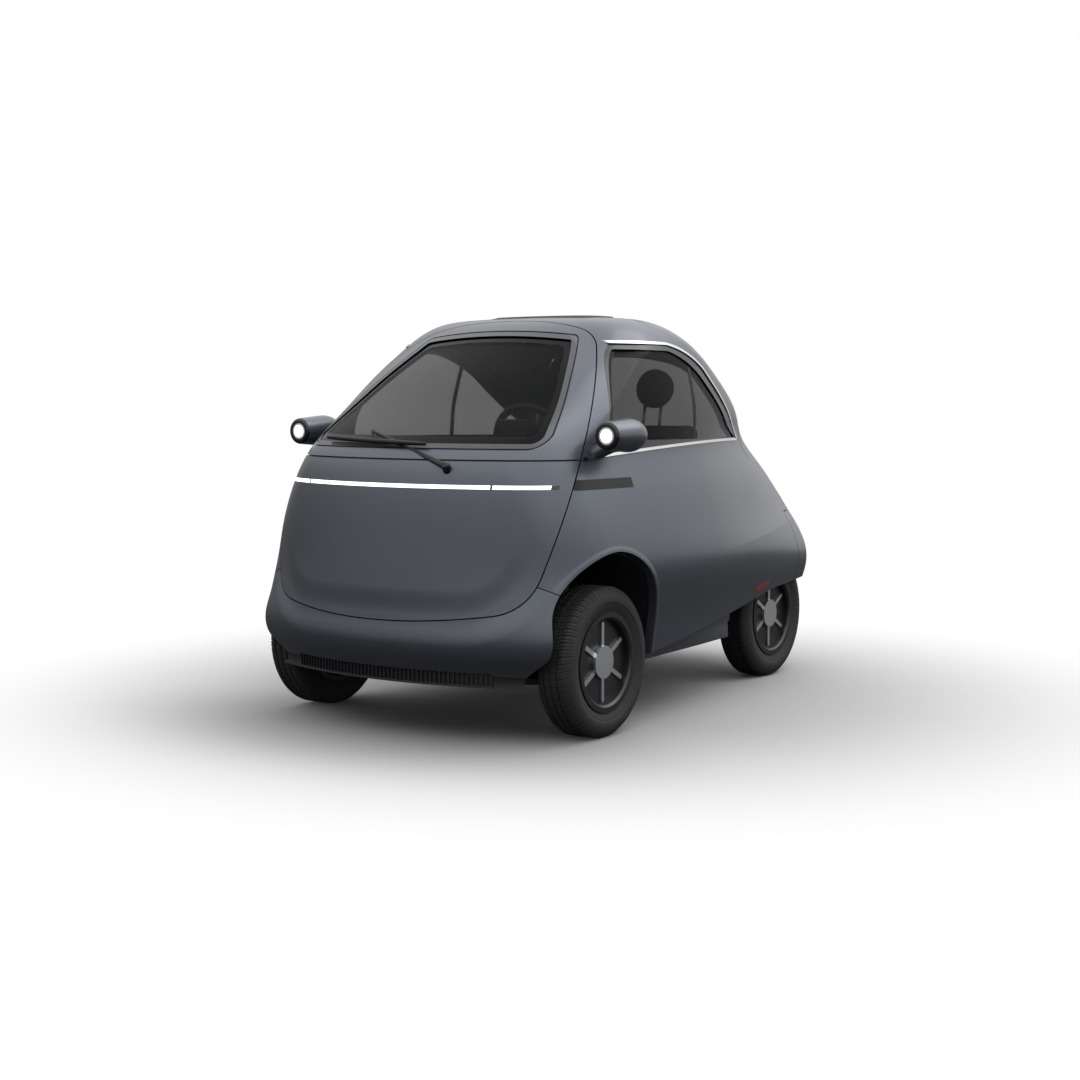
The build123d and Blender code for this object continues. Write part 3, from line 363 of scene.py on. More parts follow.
def side_border(tree, place):
    """1 on the side window's dividing bar, 16 mm wide, and along its front edge, and 0 elsewhere."""
    _, y, z = axes(tree, place)
    y = maths(tree, "SUBTRACT", y, FRONT_AXLE)
    off_bar = maths(tree, "ABSOLUTE", maths(tree, "ADD", maths(tree, "SUBTRACT", y, 0.767),
                                            maths(tree, "MULTIPLY_ADD", z, -0.06, 0.071)))
    bar = step_up(tree, off_bar, 0.009, 0.008)
    return maths(tree, "MAXIMUM", bar, step_up(tree, past_window_front(tree, y, z), -0.021, -0.019))


def no_border(tree, place):
    """0 everywhere."""
    return maths(tree, "MULTIPLY", axes(tree, place)[0], 0.0)


def tinted_glass(name, tint, alpha, border=no_border):
    made, tree, shader, place = start_material(name, IOR=1.16)
    haze = add_node(tree, "ShaderNodeTexNoise", {"Vector": place, "Scale": 6.0, "Detail": 2.0})
    rough = add_node(tree, "ShaderNodeMapRange", {"Value": haze.outputs["Fac"], "To Min": 0.01,
                                                  "To Max": 0.05})
    edge = border(tree, place)
    colour = blend_colour(tree, edge, linear(tint), linear("#050506"))
    alpha = maths(tree, "MULTIPLY_ADD", edge, 1.0 - alpha, alpha)
    for socket, value in (("Base Color", colour), ("Alpha", alpha), ("Roughness", rough.outputs[0])):
        tree.links.new(value, shader.inputs[socket])
    return made


windshield_glass = tinted_glass("windshield_glass", "#08090A", 0.4, windshield_border)
side_glass = tinted_glass("side_glass", "#08090A", 0.48, side_border)
rear_glass = tinted_glass("rear_glass", "#08090A", 0.48)


# %% Plastics, rubber and cloth with a grain
# Moulded parts carry an etched grain that breaks up the highlight; its size sets how coarse they look.
def grained(name, base, grain, roughness, depth, height=0.0003, metallic=0.0, spread=0.12, specular=0.5):
    made, tree, shader, place = start_material(name, Metallic=metallic, Specular_IOR_Level=specular)
    cells = add_node(tree, "ShaderNodeTexNoise", {"Vector": place, "Scale": 1 / grain, "Detail": 3.0})
    cloud = add_node(tree, "ShaderNodeTexNoise", {"Vector": place, "Scale": 9.0, "Detail": 2.0})
    value = add_node(tree, "ShaderNodeMapRange", {"Value": cloud.outputs["Fac"], "From Min": 0.3,
                                                  "From Max": 0.7, "To Min": 1 - spread, "To Max": 1 + spread})
    colour = add_node(tree, "ShaderNodeHueSaturation", {"Color": linear(base), "Value": value.outputs[0]})
    rough = add_node(tree, "ShaderNodeMapRange", {"Value": cells.outputs["Fac"], "To Min": roughness - 0.07,
                                                  "To Max": roughness + 0.07})
    bump = add_node(tree, "ShaderNodeBump", {"Strength": depth, "Distance": height,
                                             "Height": cells.outputs["Fac"]})
    tree.links.new(colour.outputs[0], shader.inputs["Base Color"])
    tree.links.new(rough.outputs[0], shader.inputs["Roughness"])
    tree.links.new(bump.outputs[0], shader.inputs["Normal"])
    return made


satin_plastic = grained("moulded_black_plastic", "#15171A", 0.0012, 0.42, 0.15)
trim_plastic = grained("grained_cabin_plastic", "#24272B", 0.0016, 0.6, 0.5, 0.0005)
gloss_black = grained("piano_black_acrylic", "#0A0B0C", 0.004, 0.3, 0.02, specular=0.2)
tyre_rubber = grained("tyre_rubber", "#1D1E20", 0.0014, 0.78, 0.4, 0.0004)
under_plastic = grained("pressed_underbody_fibre", "#191A1C", 0.004, 0.85, 0.8, 0.0008)
dip_steel = grained("black_dipped_steel", "#1E2022", 0.0025, 0.55, 0.3)
cast_alloy = grained("sand_cast_aluminium", "#8E9194", 0.0018, 0.55, 0.7, 0.0006, metallic=1.0)
battery_alloy = grained("folded_aluminium_sheet", "#A3A6A8", 0.003, 0.4, 0.2, metallic=1.0)
bright_trim = grained("polished_stainless_trim", "#D4D6D8", 0.01, 0.16, 0.02, metallic=1.0, spread=0.03)
mirror_coat = grained("silvered_mirror_glass", "#E6E8EA", 0.05, 0.08, 0.0, metallic=1.0, spread=0.01)
reflector = grained("red_reflector_acrylic", "#8C1A1C", 0.003, 0.2, 0.5, 0.0006)
roof_cloth = grained("woven_roof_fabric", "#1B1C1E", 0.0011, 0.85, 0.7, 0.0004)
seat_cloth = grained("woven_seat_fabric", "#505357", 0.0013, 0.9, 0.8, 0.0005)


# %% Fluted tail lens
# Red acrylic, moulded with upright flutes behind a smooth face, as reflector optics are.
def fluted_lens(name, base):
    made, tree, shader, place = start_material(name, Roughness=0.15, Coat_Weight=0.5)
    flutes = add_node(tree, "ShaderNodeTexWave", {"Vector": place, "Scale": 38.0}, bands_direction="X")
    tone = add_node(tree, "ShaderNodeMapRange", {"Value": flutes.outputs["Fac"], "To Min": 0.7, "To Max": 1.25})
    colour = add_node(tree, "ShaderNodeHueSaturation", {"Color": linear(base), "Value": tone.outputs[0]})
    bump = add_node(tree, "ShaderNodeBump", {"Strength": 0.6, "Distance": 0.001, "Height": flutes.outputs["Fac"]})
    tree.links.new(colour.outputs[0], shader.inputs["Base Color"])
    tree.links.new(bump.outputs[0], shader.inputs["Normal"])
    return made


tail_lens = fluted_lens("fluted_red_lens_acrylic", "#8A1014")

# %% Lit strip and lamps
# The light bar is a milky acrylic guide with light-emitting diodes behind it, so it glows evenly. Its two
# ends are dark, and thin dark walls part its long middle from the turn signals. Each round lamp is a
# bright disc in a black bezel, behind clear acrylic.
def lit(name, base, strength, glowing):
    made, tree, shader, place = start_material(name, Roughness=0.2)
    ripple = add_node(tree, "ShaderNodeTexNoise", {"Vector": place, "Scale": 60.0, "Detail": 1.0})
    glow = add_node(tree, "ShaderNodeMapRange", {"Value": ripple.outputs["Fac"], "To Min": 0.9, "To Max": 1.0})
    colour = add_node(tree, "ShaderNodeHueSaturation", {"Color": linear(base), "Value": glow.outputs[0]})
    share = glowing(tree, place)
    tree.links.new(blend_colour(tree, share, linear("#1A1B1D"), linear(base)), shader.inputs["Base Color"])
    tree.links.new(colour.outputs[0], shader.inputs["Emission Color"])
    tree.links.new(maths(tree, "MULTIPLY", share, strength), shader.inputs["Emission Strength"])
    return made


def bar_glow(tree, place):
    """1 along the lit middle of the bar and its signals, 0 at its ends and at the walls, 8 mm thick."""
    x, _, _ = axes(tree, place)
    wall = step_up(tree, maths(tree, "ABSOLUTE", maths(tree, "SUBTRACT", x, 0.41)), 0.003, 0.0045)
    return maths(tree, "MULTIPLY", wall, step_up(tree, x, 0.584, 0.582))


def lamp_glow(tree, place):
    """A disc of 24 mm radius about each lamp's axis, with a dimmer ring around it."""
    x, _, z = axes(tree, place)
    side, rise = maths(tree, "SUBTRACT", x, 0.705), maths(tree, "SUBTRACT", z, 1.056)
    reach = length_of(tree, side, rise)
    ring = maths(tree, "MULTIPLY", step_up(tree, reach, 0.031, 0.029), 0.16)
    return maths(tree, "MAXIMUM", step_up(tree, reach, 0.025, 0.022), ring)


light_guide = lit("lit_acrylic_guide", "#FFFFFF", 1.5, bar_glow)
round_lamp = lit("round_lamp", "#FFFFFF", 1.7, lamp_glow)


# %% Rim with bright spokes
# Cast aluminium, painted satin black and then turned bright on the spokes and the cap, which stand proud
# of the disc. The wheels' middle planes are known, so the distance from them picks the bright faces, and
# the distance from the axle keeps the rim's edge black.
WHEELS = {"front_left": (0.6155, FRONT_AXLE), "front_right": (-0.6155, FRONT_AXLE),
          "rear_left": (0.4525, FRONT_AXLE + 1.567), "rear_right": (-0.4525, FRONT_AXLE + 1.567)}
TYRE_RADIUS = 0.2665


def two_tone_rim(name, middle, axle):
    made, tree, shader, place = start_material(name)
    x, y, z = axes(tree, place)
    off = maths(tree, "SUBTRACT", x, middle)
    along, rise = maths(tree, "SUBTRACT", y, axle), maths(tree, "SUBTRACT", z, TYRE_RADIUS)
    reach = length_of(tree, along, rise)
    bright = maths(tree, "MULTIPLY", step_up(tree, off, 0.0375, 0.0385), step_up(tree, reach, 0.1455, 0.1445))
    grain = add_node(tree, "ShaderNodeTexNoise", {"Vector": place, "Scale": 700.0, "Detail": 2.0})
    rough = add_node(tree, "ShaderNodeMapRange", {"Value": grain.outputs["Fac"], "To Min": 0.3, "To Max": 0.42})
    colour = blend_colour(tree, bright, linear("#191A1C"), linear("#CED1D4"))
    tree.links.new(colour, shader.inputs["Base Color"])
    tree.links.new(rough.outputs[0], shader.inputs["Roughness"])
    tree.links.new(bright, shader.inputs["Metallic"])
    return made


rims = {end: two_tone_rim(f"two_tone_rim_{end}", abs(WHEELS[end + "_left"][0]), WHEELS[end + "_left"][1])
        for end in ("front", "rear")}

# %% Finishes onto the solids
FINISH = {
    "body_paint": body_paint, "light_strip": light_guide, "lamp_lens": round_lamp,
    "mirror_glass": mirror_coat, "tail_lens": tail_lens, "reflector": reflector,
    "interior_trim": trim_plastic, "black_plastic": satin_plastic, "gloss_black": gloss_black,
    "bright_trim": bright_trim, "roof_fabric": roof_cloth, "underbody": under_plastic,
    "battery_case": battery_alloy, "cast_housing": cast_alloy, "chassis_steel": dip_steel,
    "seat_cover": seat_cloth, "tyre_rubber": tyre_rubber, "window_glass": rear_glass,
}
OWN_FINISH = {
    "front_door": door_paint, "rear_bumper": tail_paint, "front_bumper": bumper_paint,
    "body_shell": shell_paint, "floor_pan": pan_paint, "lamp_pods": pod_paint, "windshield": windshield_glass,
    "side_windows": side_glass, "rim_front_left": rims["front"], "rim_front_right": rims["front"],
    "rim_rear_left": rims["rear"], "rim_rear_right": rims["rear"],
}
for part in frame["record"]["subparts"]:
    solid = frame["nodes"][part["node"]]
    finish = OWN_FINISH.get(part["node"]) or FINISH[part["material_slot"]]
    for place in solid.material_slots:
        place.material = finish
print(len(FINISH) + len(OWN_FINISH), "finishes on", len(frame["nodes"]), "solids")

# %% [markdown]
# ## Tyres
# A road tyre is moulded in a hot press whose segments cut its tread into ribs, blocks and fine slits. One
# grid of points gives the whole tyre: its columns follow the section from bead to bead, its rows go round
# in pitches, and a table says which columns and rows are cut, and how deep.

# %% Treaded tyres
TREAD_HALF = [                     # from the middle of the tread to the bead: distance across, radius,
    (0.0, 266.5, 0, 0), (3.2, 266.5, 6, 0), (3.6, 266.5, 0, 0), (7.0, 266.5, 0, 4), (18.0, 266.5, 0, 4),
    (23.4, 266.5, 0, 4), (23.8, 266.5, 6, 0), (30.2, 266.5, 6, 0), (30.6, 266.5, 0, 5), (38.0, 266.5, 0, 5),
    (46.0, 266.2, 0, 5), (51.0, 264.0, 0, 5), (56.0, 259.5, 0, 5), (61.0, 253.5, 0, 4), (65.0, 247.0, 0, 3),
    (68.2, 240.0, 0, 1.2), (68.8, 238.0, 0, 0), (71.0, 231.0, 0, 0), (72.3, 223.0, 0, 0), (72.2, 215.0, 0, 0),
    (71.0, 208.0, 0, 0), (70.0, 207.0, 0, 0), (68.6, 203.0, 0, 0), (69.0, 202.0, 0, 0), (66.0, 194.0, 0, 0),
    (61.5, 184.0, 0, 0), (57.0, 176.0, 0, 0), (57.0, 165.8, 0, 0),
]                                  # depth of its groove round the tyre, and of the cuts across it
PITCHES = 66
CUTS = [(0.0, 0), (0.03, 1), (0.15, 1), (0.18, 0), (0.34, 0), (0.5, 0), (0.52, 0.7), (0.57, 0.7), (0.59, 0),
        (0.8, 0)]                  # place in one pitch, and the share of the depth cut there


def tyre(name, x_middle, y_middle, side):
    """Points r (cos a, sin a) round the axle at distance x across; r falls where a groove or cut runs.
    The cuts slant: the angle of a row shifts with the distance across."""
    half = np.array(TREAD_HALF)
    left = half[:0:-1] * (-1, 1, 1, 1)
    section = np.vstack([left, half])
    place, share = np.tile(np.array(CUTS), (PITCHES, 1)).T
    pitch = np.repeat(np.arange(PITCHES), len(CUTS))
    turn = (pitch + place)[:, None] / PITCHES * 2 * np.pi
    across, radius, groove, cut = section.T
    slant = 0.5 * np.abs(across) / 62 / PITCHES * 2 * np.pi
    turn = turn + np.minimum(slant, 0.5 / PITCHES * 2 * np.pi)
    depth = np.maximum(groove, cut * share[:, None])
    reach = (radius - depth) / 1000
    points = np.stack([np.broadcast_to(x_middle - side * across / 1000, reach.shape),
                       y_middle + side * reach * np.sin(turn), TYRE_RADIUS + reach * np.cos(turn)], axis=-1)
    body = "wheel_" + name
    made = add_mesh("treaded_tyre_" + name, points, grid_faces(*reach.shape, True, True), tyre_rubber, body,
                    replaced=["tyre_" + name])
    made.data.set_sharp_from_angle(angle=radians(38))
    return made


for name, (x, y) in WHEELS.items():
    tyre(name, x, y, np.sign(x))
print("4 tyres of", len(CUTS) * PITCHES * (2 * len(TREAD_HALF) - 1), "faces each")

# %% [markdown]
# ## Seats
# The bench is foam under a sewn knitted cover: a seat pad, a backrest and two round headrests on steel
# posts. Each pad starts as its solid a little smaller, is blown up as cloth, as foam fills a cover, and
# then its sewn channels are pressed in.

# %% Foam pads
def solid_mesh(node, voxel, shrink):
    """The node's outline remeshed in even squares of the voxel's size, pulled in by the shrink in metres."""
    copy = bpy.data.objects.new("pad_start", frame["nodes"][node].data.copy())
    bpy.context.scene.collection.objects.link(copy)
    weld = copy.modifiers.new("weld", "WELD")
    weld.merge_threshold = 1e-5
    squares = copy.modifiers.new("squares", "REMESH")
    squares.mode, squares.voxel_size = "VOXEL", voxel
    graph = bpy.context.evaluated_depsgraph_get()
    mesh = bpy.data.meshes.new_from_object(copy.evaluated_get(graph))
    bpy.data.objects.remove(copy)
    places, normals = vertex_array(mesh.vertices, "co"), vertex_array(mesh.vertices, "normal")
    mesh.vertices.foreach_set("co", (places - shrink * normals).ravel())
    return mesh


def vertex_array(vertices, what):
    """One row of three numbers for each vertex: its place or its normal."""
    values = np.empty(3 * len(vertices))
    vertices.foreach_get(what, values)
    return values.reshape(-1, 3)


def blow_up(mesh, cap, frames=20):
    """Cloth with pressure inside and no gravity, each point held to the cap in metres from its start."""
    start = vertex_array(mesh.vertices, "co")
    pad = bpy.data.objects.new("pad_cloth", mesh)
    bpy.context.scene.collection.objects.link(pad)
    cloth = pad.modifiers.new("cloth", "CLOTH")
    cloth.settings.use_pressure = True
    cloth.settings.uniform_pressure_force = 4.0
    cloth.settings.effector_weights.gravity = 0.0
    cloth.point_cache.frame_start, cloth.point_cache.frame_end = 1, frames
    for step in range(1, frames + 1):
        bpy.context.scene.frame_set(step)
    graph = bpy.context.evaluated_depsgraph_get()
    blown = pad.evaluated_get(graph).to_mesh()
    move = vertex_array(blown.vertices, "co") - start
    pad.evaluated_get(graph).to_mesh_clear()
    bpy.data.objects.remove(pad)
    bpy.context.scene.frame_set(1)
    length = np.linalg.norm(move, axis=1, keepdims=True)
    return start + move * np.minimum(1.0, cap / np.maximum(length, 1e-9))


def channel(off, width):
    """The depth of a sewn channel, from 0 to 1, at a distance off its middle: a bell of the given width."""
    return np.exp(-(off / width) ** 2)


def foam_pad(name, node, voxel, cap, keep, channels, finish):
    """A pad in the place of a node: its outline, blown up by at most the cap, then pressed in along the
    normals by the depth that the channels function gives for each point."""
    mesh = solid_mesh(node, voxel, cap)
    inside = keep(vertex_array(mesh.vertices, "co"))
    mesh.vertices.foreach_set("co", blow_up(mesh, cap).ravel())
    mesh.update()
    places, normals = vertex_array(mesh.vertices, "co"), vertex_array(mesh.vertices, "normal")
    mesh.vertices.foreach_set("co", (places - channels(places, normals)[:, None] * normals).ravel())
    if not inside.all():
        made = bmesh.new()
        made.from_mesh(mesh)
        made.verts.ensure_lookup_table()
        bmesh.ops.delete(made, geom=[made.verts[i] for i in np.flatnonzero(~inside)], context="VERTS")
        bmesh.ops.holes_fill(made, edges=made.edges, sides=0)
        made.to_mesh(mesh)
        made.free()
    mesh.materials.clear()
    mesh.materials.append(finish)
    mesh.polygons.foreach_set("use_smooth", np.ones(len(mesh.polygons), dtype=bool))
    mesh.update()
    pad = bpy.data.objects.new(name, mesh)
    bpy.context.scene.collection.objects.link(pad)
    pad.modifiers.new("smooth", "SUBSURF").levels = 1
    pad.modifiers["smooth"].render_levels = 1
    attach(pad, "body")
    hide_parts(node)
    print(name, len(mesh.vertices), "points")
    return pad


def everything(places):
    """Keeps every point."""
    return np.ones(len(places), dtype=bool)


def seat_channels(places, normals):
    """A deep channel between the two seats, and two shallow ones across each seat's top."""
    x, y = np.abs(places[:, 0]), places[:, 1] - FRONT_AXLE
    up = np.clip(normals[:, 2], 0, 1)
    across = sum(channel(y - at, 0.006) for at in (0.56, 0.68)) * (x < 0.44) * (x > 0.05)
    along = sum(channel(x - at, 0.006) for at in (0.05, 0.44)) * (y > 0.45) * (y < 0.86)
    return 0.012 * channel(x, 0.012) + 0.006 * up * np.maximum(across, along)


def back_channels(places, normals):
    """A deep channel between the two backs, and shallow ones across the front of each."""
    x, z = np.abs(places[:, 0]), places[:, 2]
    front = np.clip(-normals[:, 1], 0, 1)
    across = sum(channel(z - at, 0.006) for at in (0.66, 0.78, 0.9, 1.02)) * (x < 0.42) * (x > 0.06)
    along = sum(channel(x - at, 0.006) for at in (0.06, 0.42))
    return 0.012 * channel(x, 0.012) + 0.006 * front * np.maximum(across, along)


def head_channels(places, normals):
    """A seam round the rim of each headrest, where its front and back covers meet."""
    lean = np.radians(12)
    behind, over = places[:, 1] - FRONT_AXLE - HEADREST[1], places[:, 2] - HEADREST[2]
    depth = behind * np.cos(lean) - over * np.sin(lean)
    return 0.003 * channel(depth - 0.018, 0.003)


def head_only(places):
    """Keeps the points of the two headrests, and leaves out the thin posts under them."""
    x, y = np.abs(places[:, 0]) - HEADREST[0], places[:, 1] - FRONT_AXLE - HEADREST[1]
    z = places[:, 2] - HEADREST[2]
    return x ** 2 + y ** 2 + z ** 2 < 0.094 ** 2


def post(name, x, foot, top):
    """A round steel rod: circles of 6 mm radius along a straight line, with its ends closed by a point."""
    share, size = np.array([0, 0, 0.02, 0.98, 1, 1]), np.array([0, 0.005, 0.006, 0.006, 0.005, 0])
    turn = np.linspace(0, 2 * np.pi, 16, endpoint=False)[None, :]
    line = np.array(foot)[None, :] + share[:, None] * (np.array(top) - np.array(foot))[None, :]
    points = np.stack([x + size[:, None] * np.cos(turn), line[:, 0, None] + size[:, None] * np.sin(turn),
                       line[:, 1, None] + 0 * turn], axis=-1)
    faces = grid_faces(6, 16, wrap_columns=True)[:, ::-1]
    return add_mesh(name, points, faces, bright_trim, "body", replaced=["headrests"])


HEADREST = (0.262, 1.0035, 1.220)      # its middle: x, station, z
for side, x in (("left", HEADREST[0]), ("right", -HEADREST[0])):
    for number, spread in ((1, -0.038), (2, 0.038)):
        post(f"headrest_post_{side}_{number}", x + spread, (FRONT_AXLE + 0.972, 1.07),
             (FRONT_AXLE + 0.992, 1.165))
foam_pad("head_pads", "headrests", 0.005, 0.006, head_only, head_channels, seat_cloth)
foam_pad("seat_pad", "seat_cushion", 0.008, 0.012, everything, seat_channels, seat_cloth)
foam_pad("back_pad", "seat_backrest", 0.009, 0.012, everything, back_channels, seat_cloth)

# %% [markdown]
# ## Wiper
# The wiper is a pressed steel arm, broad at its cast cap and narrow at its tip, with a rubber blade in a
# spring carrier. Three bars, each an oval section drawn along a line, and the cap, a turned profile.

# %% Wiper arm and blade
WINDSHIELD_LEAN = radians(55.3)
GLASS_UP = np.array([0.0, -cos(WINDSHIELD_LEAN), sin(WINDSHIELD_LEAN)])


def off_glass(point, clear):
    """A place over the windshield: x, station and z in metres, moved outwards by the clearance."""
    return np.array(point) + (0, FRONT_AXLE, 0) + clear * GLASS_UP


def oval_bar(name, line, wide, tall):
    """Points c + w cos(t) s + h sin(t) u round each point c of the line: u leads off the glass, s = u x the
    line's direction, and w and h are the half width and half height there. Zero sizes close the ends."""
    side = np.cross(GLASS_UP, np.gradient(line, axis=0))
    side /= np.linalg.norm(side, axis=1, keepdims=True)
    line, side = (np.vstack([rows[:1], rows, rows[-1:]]) for rows in (line, side))
    turn = np.linspace(0, 2 * np.pi, 20, endpoint=False)[None, :, None]
    wide, tall = (np.concatenate([[0.0], size, [0.0]])[:, None, None] for size in (wide, tall))
    points = line[:, None] + wide * np.cos(turn) * side[:, None] + tall * np.sin(turn) * GLASS_UP
    faces = grid_faces(len(line), 20, wrap_columns=True)[:, ::-1]
    return add_mesh(name, points, faces, wiper_black, "front_door_body", replaced=["wiper"])


wiper_black = grained("black_lacquered_steel", "#0D0E10", 0.0012, 0.5, 0.1, specular=0.3)
pivot, tip = (0.241, -0.343, 0.939), (-0.150, -0.262, 1.052)
share = np.linspace(0, 1, 24)
arm = off_glass(pivot, 0.018) + share[:, None] * (off_glass(tip, 0.018) - off_glass(pivot, 0.018))
oval_bar("wiper_arm", arm, 0.013 - 0.006 * share ** 0.6, 0.007 - 0.002 * share)
BLADE = ((-0.386, -0.237, 1.030), (-0.130, -0.298, 1.022), (0.128, -0.312, 1.015))
ends = [off_glass(point, 0.014) for point in BLADE]
curve = np.linspace(-1, 1, 40)[:, None]
blade = ends[1] + curve * (ends[2] - ends[0]) / 2 + curve ** 2 * ((ends[0] + ends[2]) / 2 - ends[1])
fade = np.sqrt(1 - 0.85 * curve[:, 0] ** 2)
oval_bar("wiper_blade", blade, 0.004 + 0.006 * fade, 0.005 + 0.004 * fade)
link = off_glass(tip, 0.018) + share[:, None] * (ends[1] - off_glass(tip, 0.018))
oval_bar("wiper_link", link, 0.006 + 0 * share, 0.006 + 0 * share)
turn = np.linspace(0, 2 * np.pi, 32, endpoint=False)[None, :, None]
# Points c + r cos(t) x + r sin(t) (u cross x) + h u round the pivot c, for each radius r and height h in mm.
CAP = np.array([[0, -6], [15, -6], [15, 18], [14.4, 21], [12.5, 23], [9, 24], [0, 24]])
size, rise = CAP.T[:, :, None, None] / 1000
ring = np.cos(turn) * (1, 0, 0) + np.sin(turn) * np.cross(GLASS_UP, (1, 0, 0))
cap = off_glass(pivot, 0) + size * ring + rise * GLASS_UP
add_mesh("wiper_cap", cap, grid_faces(7, 32, wrap_columns=True)[:, ::-1], wiper_black, "front_door_body",
         replaced=["wiper"])
print("wiper of 3 bars and a cap")

# %% [markdown]
# ## Stage, light and camera
# A pale floor takes the car's soft shadow and turns to plain white further out, so that no horizon shows;
# its grey round the car is also a broad painted shade, and an oval of painted shadow lies ahead of the bumper.
# One large soft lamp and a sky that brightens slowly give the long gentle highlights of a satin car body.

# %% Floor
# Pale grey vinyl sweep. Only the camera sees it pale: to the car it is dark, as it is under a black flag,
# so that the body's lower half stays deep. Its grey, darker than the white round it, is partly a broad painted
# shade about the car, and an oval of painted shadow darkens it ahead of the bumper. Away from the car it turns
# to plain white light.
def shadow_floor():
    """Diffuse grey near the car, a painted shade, and white light further out, by distance from the origin."""
    made, tree, shader, place = start_material("studio_floor", Roughness=0.9, Specular_IOR_Level=0.1)
    reach = add_node(tree, "ShaderNodeVectorMath", {0: place}, operation="LENGTH").outputs["Value"]
    far = step_up(tree, reach, *FLOOR_SHADE_FADE)
    path = add_node(tree, "ShaderNodeLightPath")
    seen = maths(tree, "MAXIMUM", path.outputs["Is Camera Ray"], path.outputs["Is Transmission Ray"])
    grain = add_node(tree, "ShaderNodeTexNoise", {"Vector": place, "Scale": 40.0, "Detail": 2.0})
    tone = add_node(tree, "ShaderNodeMapRange", {"Value": grain.outputs["Fac"], "To Min": 0.97, "To Max": 1.03})
    ahead = add_node(tree, "ShaderNodeVectorMath", {0: place, 1: SHADOW_PATCH_MIDDLE}, operation="SUBTRACT")
    ahead = add_node(tree, "ShaderNodeVectorMath", {0: ahead.outputs["Vector"], 1: SHADOW_PATCH_SQUASH},
                     operation="MULTIPLY")
    ahead = add_node(tree, "ShaderNodeVectorMath", {0: ahead.outputs["Vector"]}, operation="LENGTH")
    # painted shadow: the floor's grey falls to 0.4 at the oval's middle, ahead of the bumper
    painted_shadow = maths(tree, "MULTIPLY_ADD", step_up(tree, ahead.outputs["Value"], *SHADOW_PATCH_FADE), 0.6, 0.4)
    tone = maths(tree, "MULTIPLY", tone.outputs[0], painted_shadow)
    pale = add_node(tree, "ShaderNodeHueSaturation", {"Color": linear(FLOOR_SHADE_GREY), "Value": tone})
    colour = blend_colour(tree, seen, linear("#3A3A3B"), pale.outputs[0])
    tree.links.new(colour, shader.inputs["Base Color"])
    white = add_node(tree, "ShaderNodeEmission", {"Color": (1, 1, 1, 1), "Strength": 1.0})
    amount = maths(tree, "MULTIPLY", seen, far)
    mixed = add_node(tree, "ShaderNodeMixShader", {0: amount, 1: shader.outputs[0], 2: white.outputs[0]})
    tree.links.new(mixed.outputs[0], tree.nodes["Material Output"].inputs["Surface"])
    return made


FLOOR_SHADE_FADE = (0.9, 2.6)              # painted shade: grey within the first distance from the origin, white past the second
# the vinyl's grey, dark enough near the car to paint a broad shade round it
FLOOR_SHADE_GREY = "#9C9C9C"
SHADOW_PATCH_MIDDLE = (-0.1, -1.25, 0.0)    # the painted shadow is darkest here, just ahead of the bumper
SHADOW_PATCH_SQUASH = (1.0, 1.9, 1.0)       # the painted shadow is an oval, wider than it is long
SHADOW_PATCH_FADE = (0.3, 1.6)
half = 30.0
floor_points = np.array([[-half, -half, 0], [half, -half, 0], [half, half, 0], [-half, half, 0]])
floor_mesh = bpy.data.meshes.new("floor")
floor_mesh.from_pydata(floor_points.tolist(), [], [[0, 1, 2, 3]])
floor_mesh.materials.append(shadow_floor())
floor = bpy.data.objects.new("floor", floor_mesh)
bpy.context.scene.collection.objects.link(floor)

# %% Lamps and sky
def add_lamp(name, place, target, size, power):
    """An area lamp at place, facing target, of size (wide, tall) in metres."""
    data = bpy.data.lights.new(name, "AREA")
    data.shape, data.size, data.size_y, data.energy = "RECTANGLE", size[0], size[1], power
    made = bpy.data.objects.new(name, data)
    look = np.array(target, float) - np.array(place, float)
    made.location = place
    made.rotation_euler = Vector(look).to_track_quat("-Z", "Y").to_euler()
    bpy.context.scene.collection.objects.link(made)
    return made


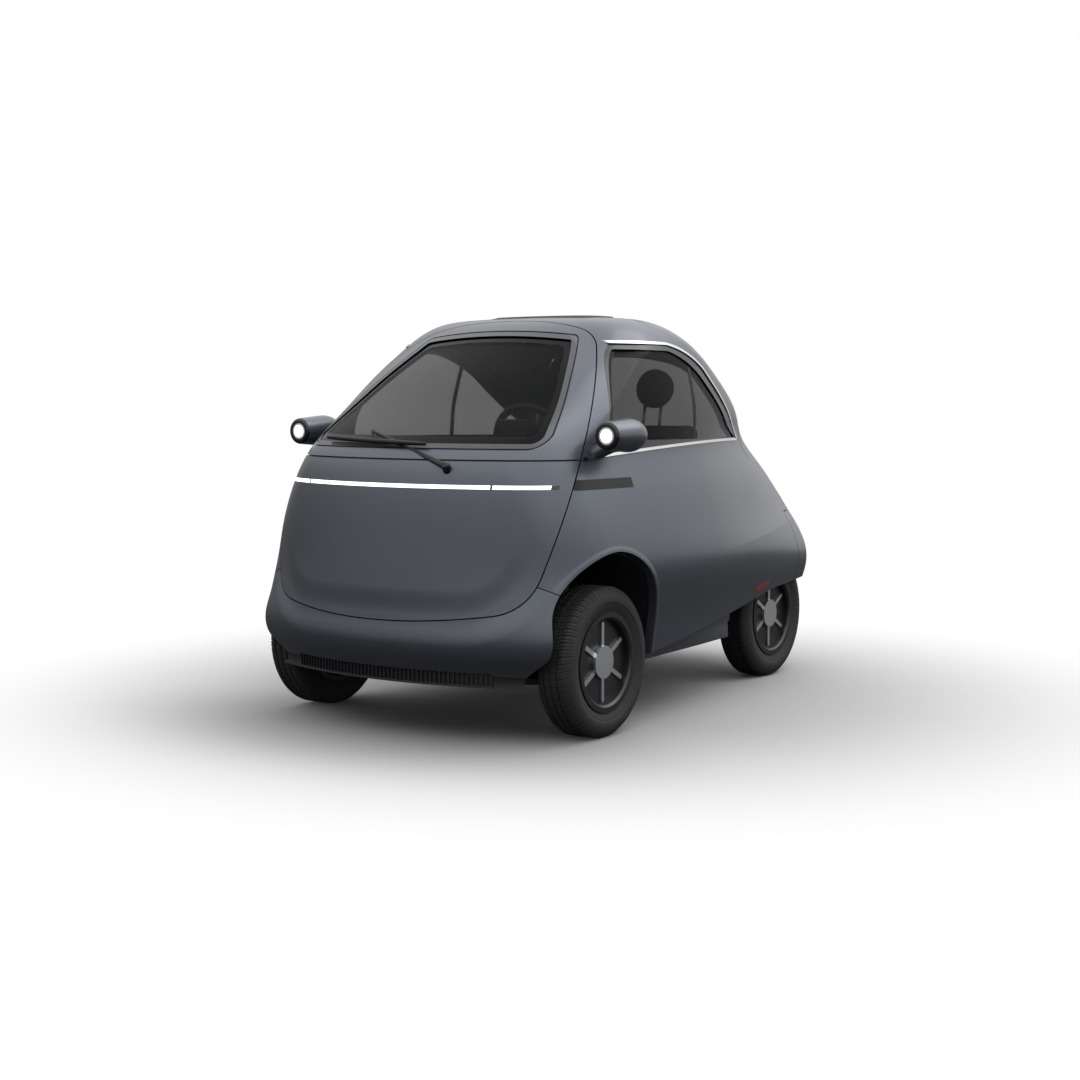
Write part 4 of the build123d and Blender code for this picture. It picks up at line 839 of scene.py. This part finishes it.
add_lamp("overhead", (1.9, 1.6, 4.4), (0, 0, 0.6), (3.4, 4.0), 90)

# The sky is a wide soft glow, brightest above the car's left rear, with a weaker one ahead of the door. Every
# curve of the body shows as a gentle gradient, and no lamp's outline shows in the glass. The camera sees white.
GLOW_TOWARDS = (0.45, 0.5, 0.74)
FILL_TOWARDS = (-0.15, -0.92, 0.36)
world = bpy.data.worlds.new("studio_world")
world.use_nodes = True
bpy.context.scene.world = world
sky = world.node_tree
towards = add_node(sky, "ShaderNodeTexCoord").outputs["Generated"]
facing = add_node(sky, "ShaderNodeVectorMath", {0: towards, 1: GLOW_TOWARDS}, operation="DOT_PRODUCT")
glow = add_node(sky, "ShaderNodeMapRange", {"Value": facing.outputs["Value"], "From Min": -0.6, "From Max": 1.0,
                                            "To Min": 0.15, "To Max": 0.95}, interpolation_type="SMOOTHSTEP")
height = add_node(sky, "ShaderNodeSeparateXYZ", {"Vector": towards}).outputs["Z"]
zenith = maths(sky, "MULTIPLY", step_up(sky, height, 0.0, 0.75), 0.78)
ahead = add_node(sky, "ShaderNodeVectorMath", {0: towards, 1: FILL_TOWARDS}, operation="DOT_PRODUCT")
fill = maths(sky, "MULTIPLY_ADD", step_up(sky, ahead.outputs["Value"], 0.1, 0.95), 0.45, zenith)
path = add_node(sky, "ShaderNodeLightPath")
strength = add_node(sky, "ShaderNodeMix", {0: path.outputs["Is Camera Ray"],
                                          2: maths(sky, "ADD", glow.outputs[0], fill), 3: 1.0})
sky.links.new(strength.outputs[0], sky.nodes["Background"].inputs["Strength"])
sky.nodes["Background"].inputs["Color"].default_value = (1, 1, 1, 1)

# %% Camera
camera_data = bpy.data.cameras.new("camera")
camera_data.sensor_width = 36.0
camera_data.lens = 58.78
camera = bpy.data.objects.new("camera", camera_data)
camera.location = (3.951, -5.931, 1.201)
camera.rotation_euler = (radians(90 - 4.75), 0, radians(34.70))
bpy.context.scene.collection.objects.link(camera)
bpy.context.scene.camera = camera
bpy.context.scene.view_settings.view_transform = "Standard"
